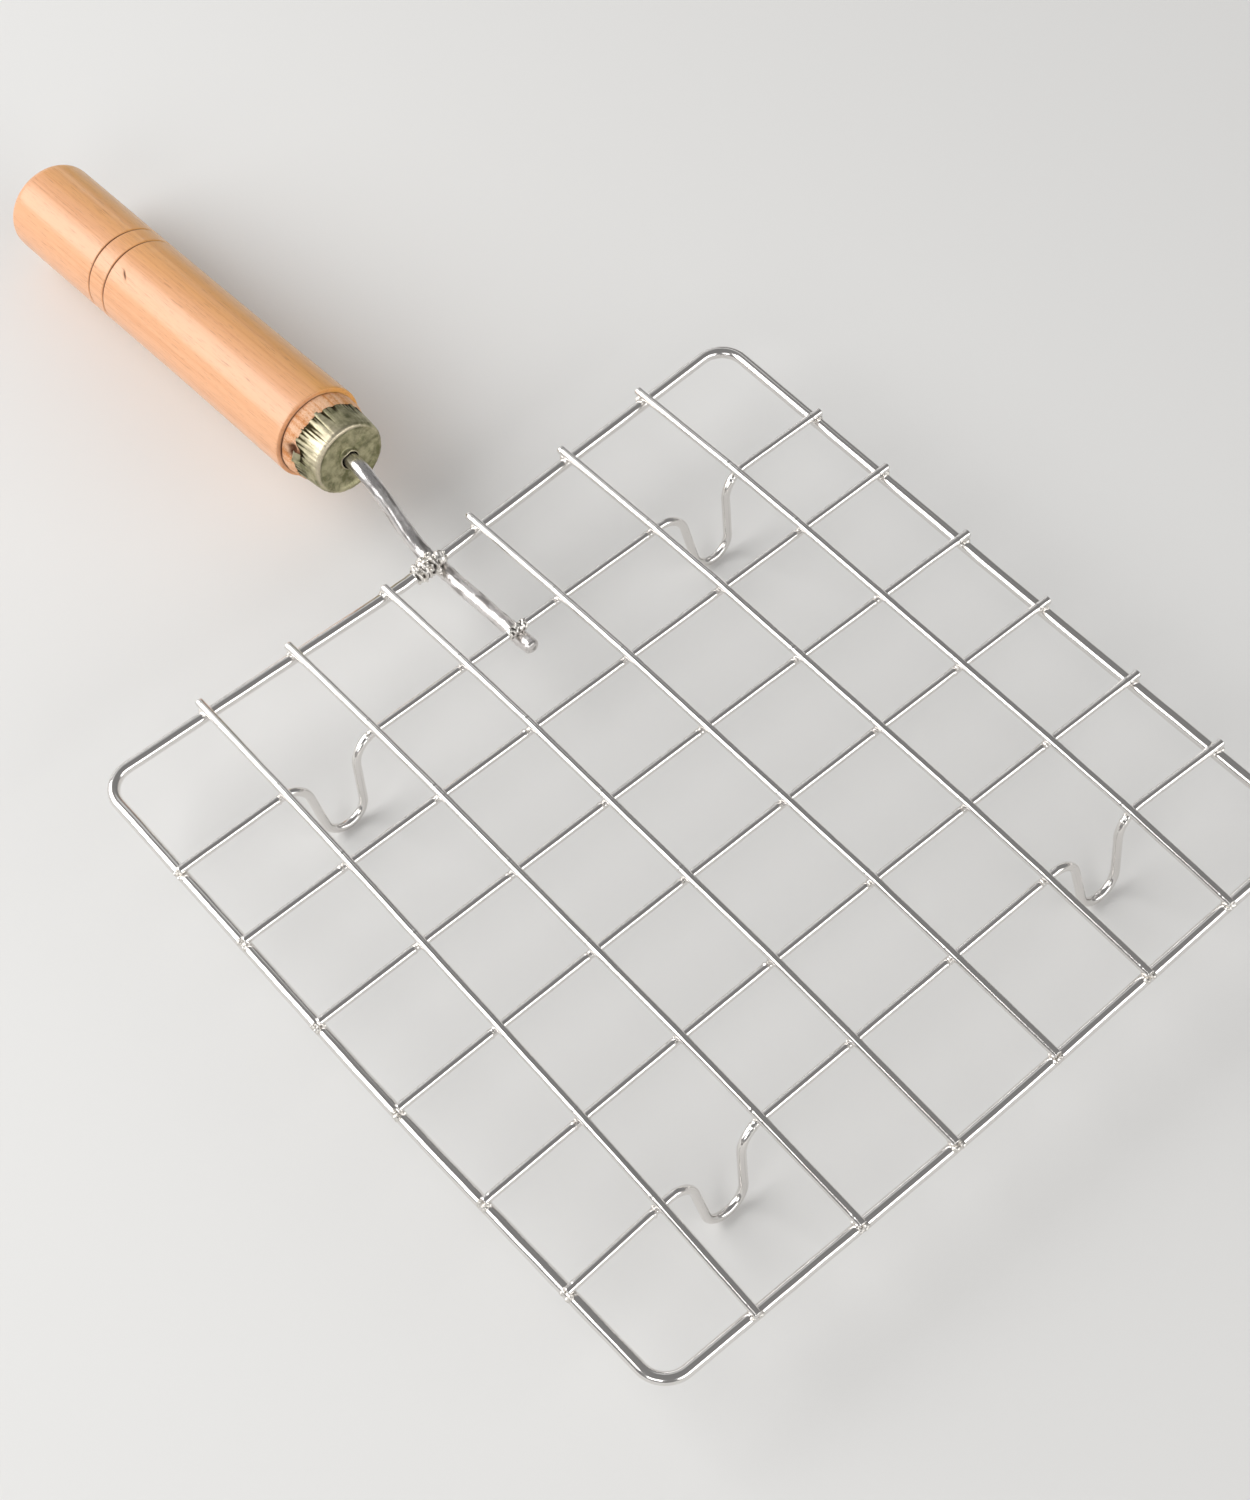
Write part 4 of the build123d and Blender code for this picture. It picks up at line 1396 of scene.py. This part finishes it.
@dataclass
class TurnedGrip:
    """A turned beech grip with two fine grooves, a shoulder and a bare tenon."""

    plan: Plan
    finish: bpy.types.Material
    radius: float = 12.6
    butt_round: float = 3.0
    grooves: tuple[float, float] = (39.0, 45.6)
    groove_half: float = 0.36
    groove_depth: float = 0.42
    tenon: float = 11.4
    inside: float = 10.45
    butt_rings: int = 9
    tenon_seen: float = 4.6
    torn_at: float = 127.0
    torn_depth: float = 1.5
    nick_at: float = 50.9
    nick_pivot: float = 51.0
    nick_turn: float = radians(60)
    nick_slope: float = 0.052
    nick_width: float = 0.030
    nick_depth: float = 0.22
    columns: int = 300

    def outline(self) -> tuple[Array, Array]:
        """Half section from the middle of the butt to the tenon's end: distances and radii."""
        plan, big, bend = self.plan, self.radius, self.butt_round
        flat = np.linspace(0.6, big - bend, self.butt_rings)
        arc = np.linspace(0, pi / 2, 14)[1:]
        length = plan.grip_length
        wall = np.arange(bend + 1.5, length - 1.0, 1.25)
        for groove in self.grooves:
            wall = wall[np.abs(wall - groove) > 1.2]
            wall = np.concatenate([wall, groove + np.linspace(-1.0, 1.0, 25)])
        wall = np.concatenate([wall, self.nick_at + np.linspace(-2.6, 2.6, 27)])
        wall = np.sort(wall)
        wall = wall[np.concatenate([[True], np.diff(wall) > 0.03])]
        shoulder_x = length + np.array([-0.6, -0.25, -0.06, 0.0, 0.03, 0.10])
        shoulder_r = np.append(big - np.array([0.0, 0.03, 0.14, 0.35, 0.9]), self.tenon - 0.32)
        seen = self.tenon_seen
        strip = np.linspace(0.30, seen, 26)
        strip_r = self.tenon - 0.25 * np.exp(-strip / 0.25) - 0.30 * step(strip, 3.0, seen)
        strip_r = strip_r - 0.10 * strip / seen
        hidden_x = np.array([5.0, 9.0, 12.1, 12.1, 12.1])
        hidden_r = np.array([self.inside, self.inside - 0.3, self.inside - 0.9, 5.0, 2.2])
        x = [np.zeros(len(flat)), bend * (1 - np.cos(arc)), wall]
        x += [shoulder_x, length + strip, length + hidden_x]
        r = [flat, big - bend + bend * np.sin(arc), np.full(len(wall), big)]
        r += [shoulder_r, strip_r, hidden_r]
        return np.concatenate(x), np.concatenate(r)

    def build(self) -> None:
        """Revolve the outline and cut in the grooves, the nick, the torn place and turning marks.

        A groove is a bell-shaped cut whose depth changes round the grip. The torn place is a bell
        2.1 mm in half width that reaches from the bare strip to under the ferrule's edge.
        """
        plan = self.plan
        x, r = self.outline()
        x, r = x[:, None], r[:, None]
        turn = turns_of(self.columns)[None]
        full = np.ones_like(turn)
        body = step(r, 3.0, 9.0)
        sway = ripple(x, turn, 81, (60, 160), 2) * 0.045
        chatter = ripple(x, turn * 0, 82, (1.2, 7.0), 0, 20) * 0.008
        on_grip = step(x, 2.0, 6.0) * (1 - step(x, plan.grip_length - 0.8, plan.grip_length))
        radius = r + body * sway + on_grip * chatter
        stain = np.zeros(np.broadcast(x, turn).shape)
        for number, groove in enumerate(self.grooves):
            depth = 0.68 + 0.32 * ripple(turn * 0, turn, 83 + number, (3, 9), 3, 8) * 0.5
            depth = np.clip(depth + 0.25 * np.cos(turn - radians(20)), 0.25, 1.1)
            wander = 0.06 * ripple(turn * 0, turn, 85 + number, (3, 9), 3, 8)
            cut = hump(x, groove + wander, self.groove_half * 0.75)
            radius = radius - self.groove_depth * depth * cut
            groove_line = hump(x, groove + wander, self.groove_half * 0.62)
            stain = np.maximum(stain, np.clip(depth * 1.05, 0, 1) * groove_line)
        slant = turn_gap(turn, self.nick_turn) + (x - self.nick_pivot) * self.nick_slope
        nick = hump(x, self.nick_at, 1.5) * np.exp(-((slant / self.nick_width) ** 2))
        radius = radius - self.nick_depth * nick
        stain = np.maximum(stain, nick * 0.9)
        strip = step(x, plan.grip_length + 0.12, plan.grip_length + 0.5)
        fray = ripple(x * 0.6, turn, 87, (1.2, 5.0), 34, 40)
        torn = hump(x, self.torn_at, 2.1) * np.exp(-((turn_gap(turn, plan.torn_turn) / 0.185) ** 2))
        outside = 1 - step(x, plan.grip_length + self.tenon_seen, plan.grip_length + 5.2)
        tear = self.torn_depth * torn * (1 + 0.12 * fray)
        radius = radius + strip * outside * (fray * 0.045 - tear)
        # Painted shade: a dark line in the gap where the grip's shoulder meets the tenon.
        gap = hump(x, plan.grip_length + 0.10, 0.28) * (0.80 + 0.30 * np.cos(turn + radians(40)))
        gap = gap * (1 - step(r, self.tenon + 0.05, self.tenon + 0.45))
        stain = np.maximum(stain, gap)
        # Painted shade: the torn place is darkened like a deep void.
        stain = np.maximum(stain, np.clip(torn * 1.25, 0, 1) * strip * (0.8 + 0.1 * fray))
        hidden = x > plan.grip_length + 8
        end = np.clip((np.abs(x) < 0.25) * step(r, self.radius, 9.8) + hidden, 0, 1)
        # Painted shade: the tenon hidden inside the ferrule is darkened.
        stain = np.maximum(stain, hidden * 0.8)
        butt_face = (np.arange(len(x)) < self.butt_rings)[:, None] * full
        lathe = butt_face * 0.05 * np.sin(r * tau / 1.6) + butt_face * 0.6 * hump(r, 0.0, 0.9)
        points = around_handle(plan, x + lathe, radius, turn)
        # Partly painted light: the side mark is rosy on the side the key light falls on, straw on
        # the far side.
        side = np.clip(0.5 - 0.5 * np.cos(turn - radians(28)), 0, 1) + 0 * x
        marks = {"lay": round_lay(x, radius, turn), "stain": stain, "bare": strip * full}
        marks.update({"end_grain": end * full, "side": side})
        make_piece("turned_grip", [Skin(points, marks)], self.finish, ["wooden_handle"])


# --- studio -----------------------------------------------------------------------------
@dataclass(frozen=True)
class Softbox:
    """One soft rectangular light, aimed at the grill."""

    name: str
    place: Triple
    width: float
    height: float
    watts: float
    tone: Triple = (1.0, 1.0, 1.0)

    def hang(self, aim: Vector) -> None:
        """Put the light in the scene."""
        lamp = bpy.data.lights.new(self.name, "AREA")
        lamp.shape, lamp.size, lamp.size_y = "RECTANGLE", self.width, self.height
        lamp.energy, lamp.color = self.watts, self.tone
        stand = bpy.data.objects.new(self.name, lamp)
        stand.location = self.place
        stand.rotation_euler = (aim - Vector(self.place)).to_track_quat("-Z", "Y").to_euler()
        bpy.context.scene.collection.objects.link(stand)


@dataclass
class Studio:
    """Pale floor, soft lights and the camera."""

    floor: bpy.types.Material
    ambient: float = 0.24
    camera_place: Triple = (0.2102, 0.3338, 0.5617)
    azimuth: float = 142.715
    elevation: float = 57.508
    roll: float = -4.62
    lens: float = 66.08
    sensor: float = 36.0
    clip: tuple[float, float] = (0.05, 20.0)
    aim: Triple = (0.0, 0.02, 0.03)
    floor_reach: float = 14.0
    lights: tuple[Softbox, ...] = (
        Softbox("key_softbox", (0.85, -0.85, 0.85), 1.5, 1.2, 23.0),
        Softbox("front_strip", (-0.6, 2.2, 0.95), 2.8, 1.1, 32.0),
        Softbox("back_strip", (-0.7, -2.6, 0.62), 2.6, 0.3, 6.0),
        Softbox("back_card", (-0.5, -1.6, 1.6), 2.4, 0.8, 3.0),
        Softbox("side_card", (1.5, 0.8, 1.0), 0.9, 0.7, 6.0),
    )

    def build(self) -> None:
        """Set the stage."""
        self.lay_floor()
        for light in self.lights:
            light.hang(Vector(self.aim))
        world = bpy.data.worlds.new("studio_air")
        world.use_nodes = True
        air = world.node_tree.nodes["Background"].inputs["Color"]
        air.default_value = (self.ambient,) * 3 + (1.0,)
        scene = bpy.context.scene
        scene.world = world
        scene.view_settings.view_transform = "Standard"
        self.set_camera()

    def lay_floor(self) -> None:
        """A flat sheet under the feet."""
        reach = self.floor_reach
        corners = [(x * reach, y * reach, 0.0) for x, y in ((-1, -1), (1, -1), (1, 1), (-1, 1))]
        mesh = bpy.data.meshes.new("studio_floor")
        mesh.from_pydata(corners, [], [(0, 1, 2, 3)])
        mesh.materials.append(self.floor)
        floor = bpy.data.objects.new("studio_floor", mesh)
        bpy.context.scene.collection.objects.link(floor)

    def set_camera(self) -> None:
        """Place the camera: it looks down at the given elevation, rolled a little."""
        lens = bpy.data.cameras.new("camera")
        lens.lens, lens.sensor_width = self.lens, self.sensor
        lens.clip_start, lens.clip_end = self.clip
        camera = bpy.data.objects.new("camera", lens)
        turn, rise = radians(self.azimuth), radians(self.elevation)
        back = Vector((sin(turn) * cos(rise), -cos(turn) * cos(rise), sin(rise)))
        level = (-back).to_track_quat("-Z", "Y")
        camera.rotation_mode = "QUATERNION"
        camera.rotation_quaternion = level @ Quaternion((0.0, 0.0, 1.0), radians(self.roll))
        camera.location = self.camera_place
        bpy.context.scene.collection.objects.link(camera)
        bpy.context.scene.camera = camera


def main() -> None:
    """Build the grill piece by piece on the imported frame."""
    logging.basicConfig(level=logging.INFO, format="%(name)s: %(message)s")
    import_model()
    plan = Plan.from_rim(*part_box("rim"))
    wire, rod, bead = BrightWire().mix(), RodPlate().mix(), WeldBead().mix()
    WireNet(plan, wire, bead).build()
    HandleRod(plan, rod, bead).build()
    Ferrule(plan, Tinplate().mix()).build()
    TurnedGrip(plan, LacqueredBeech().mix()).build()
    Studio(PaleFloor().mix()).build()


if __name__ == "__main__":
    main()
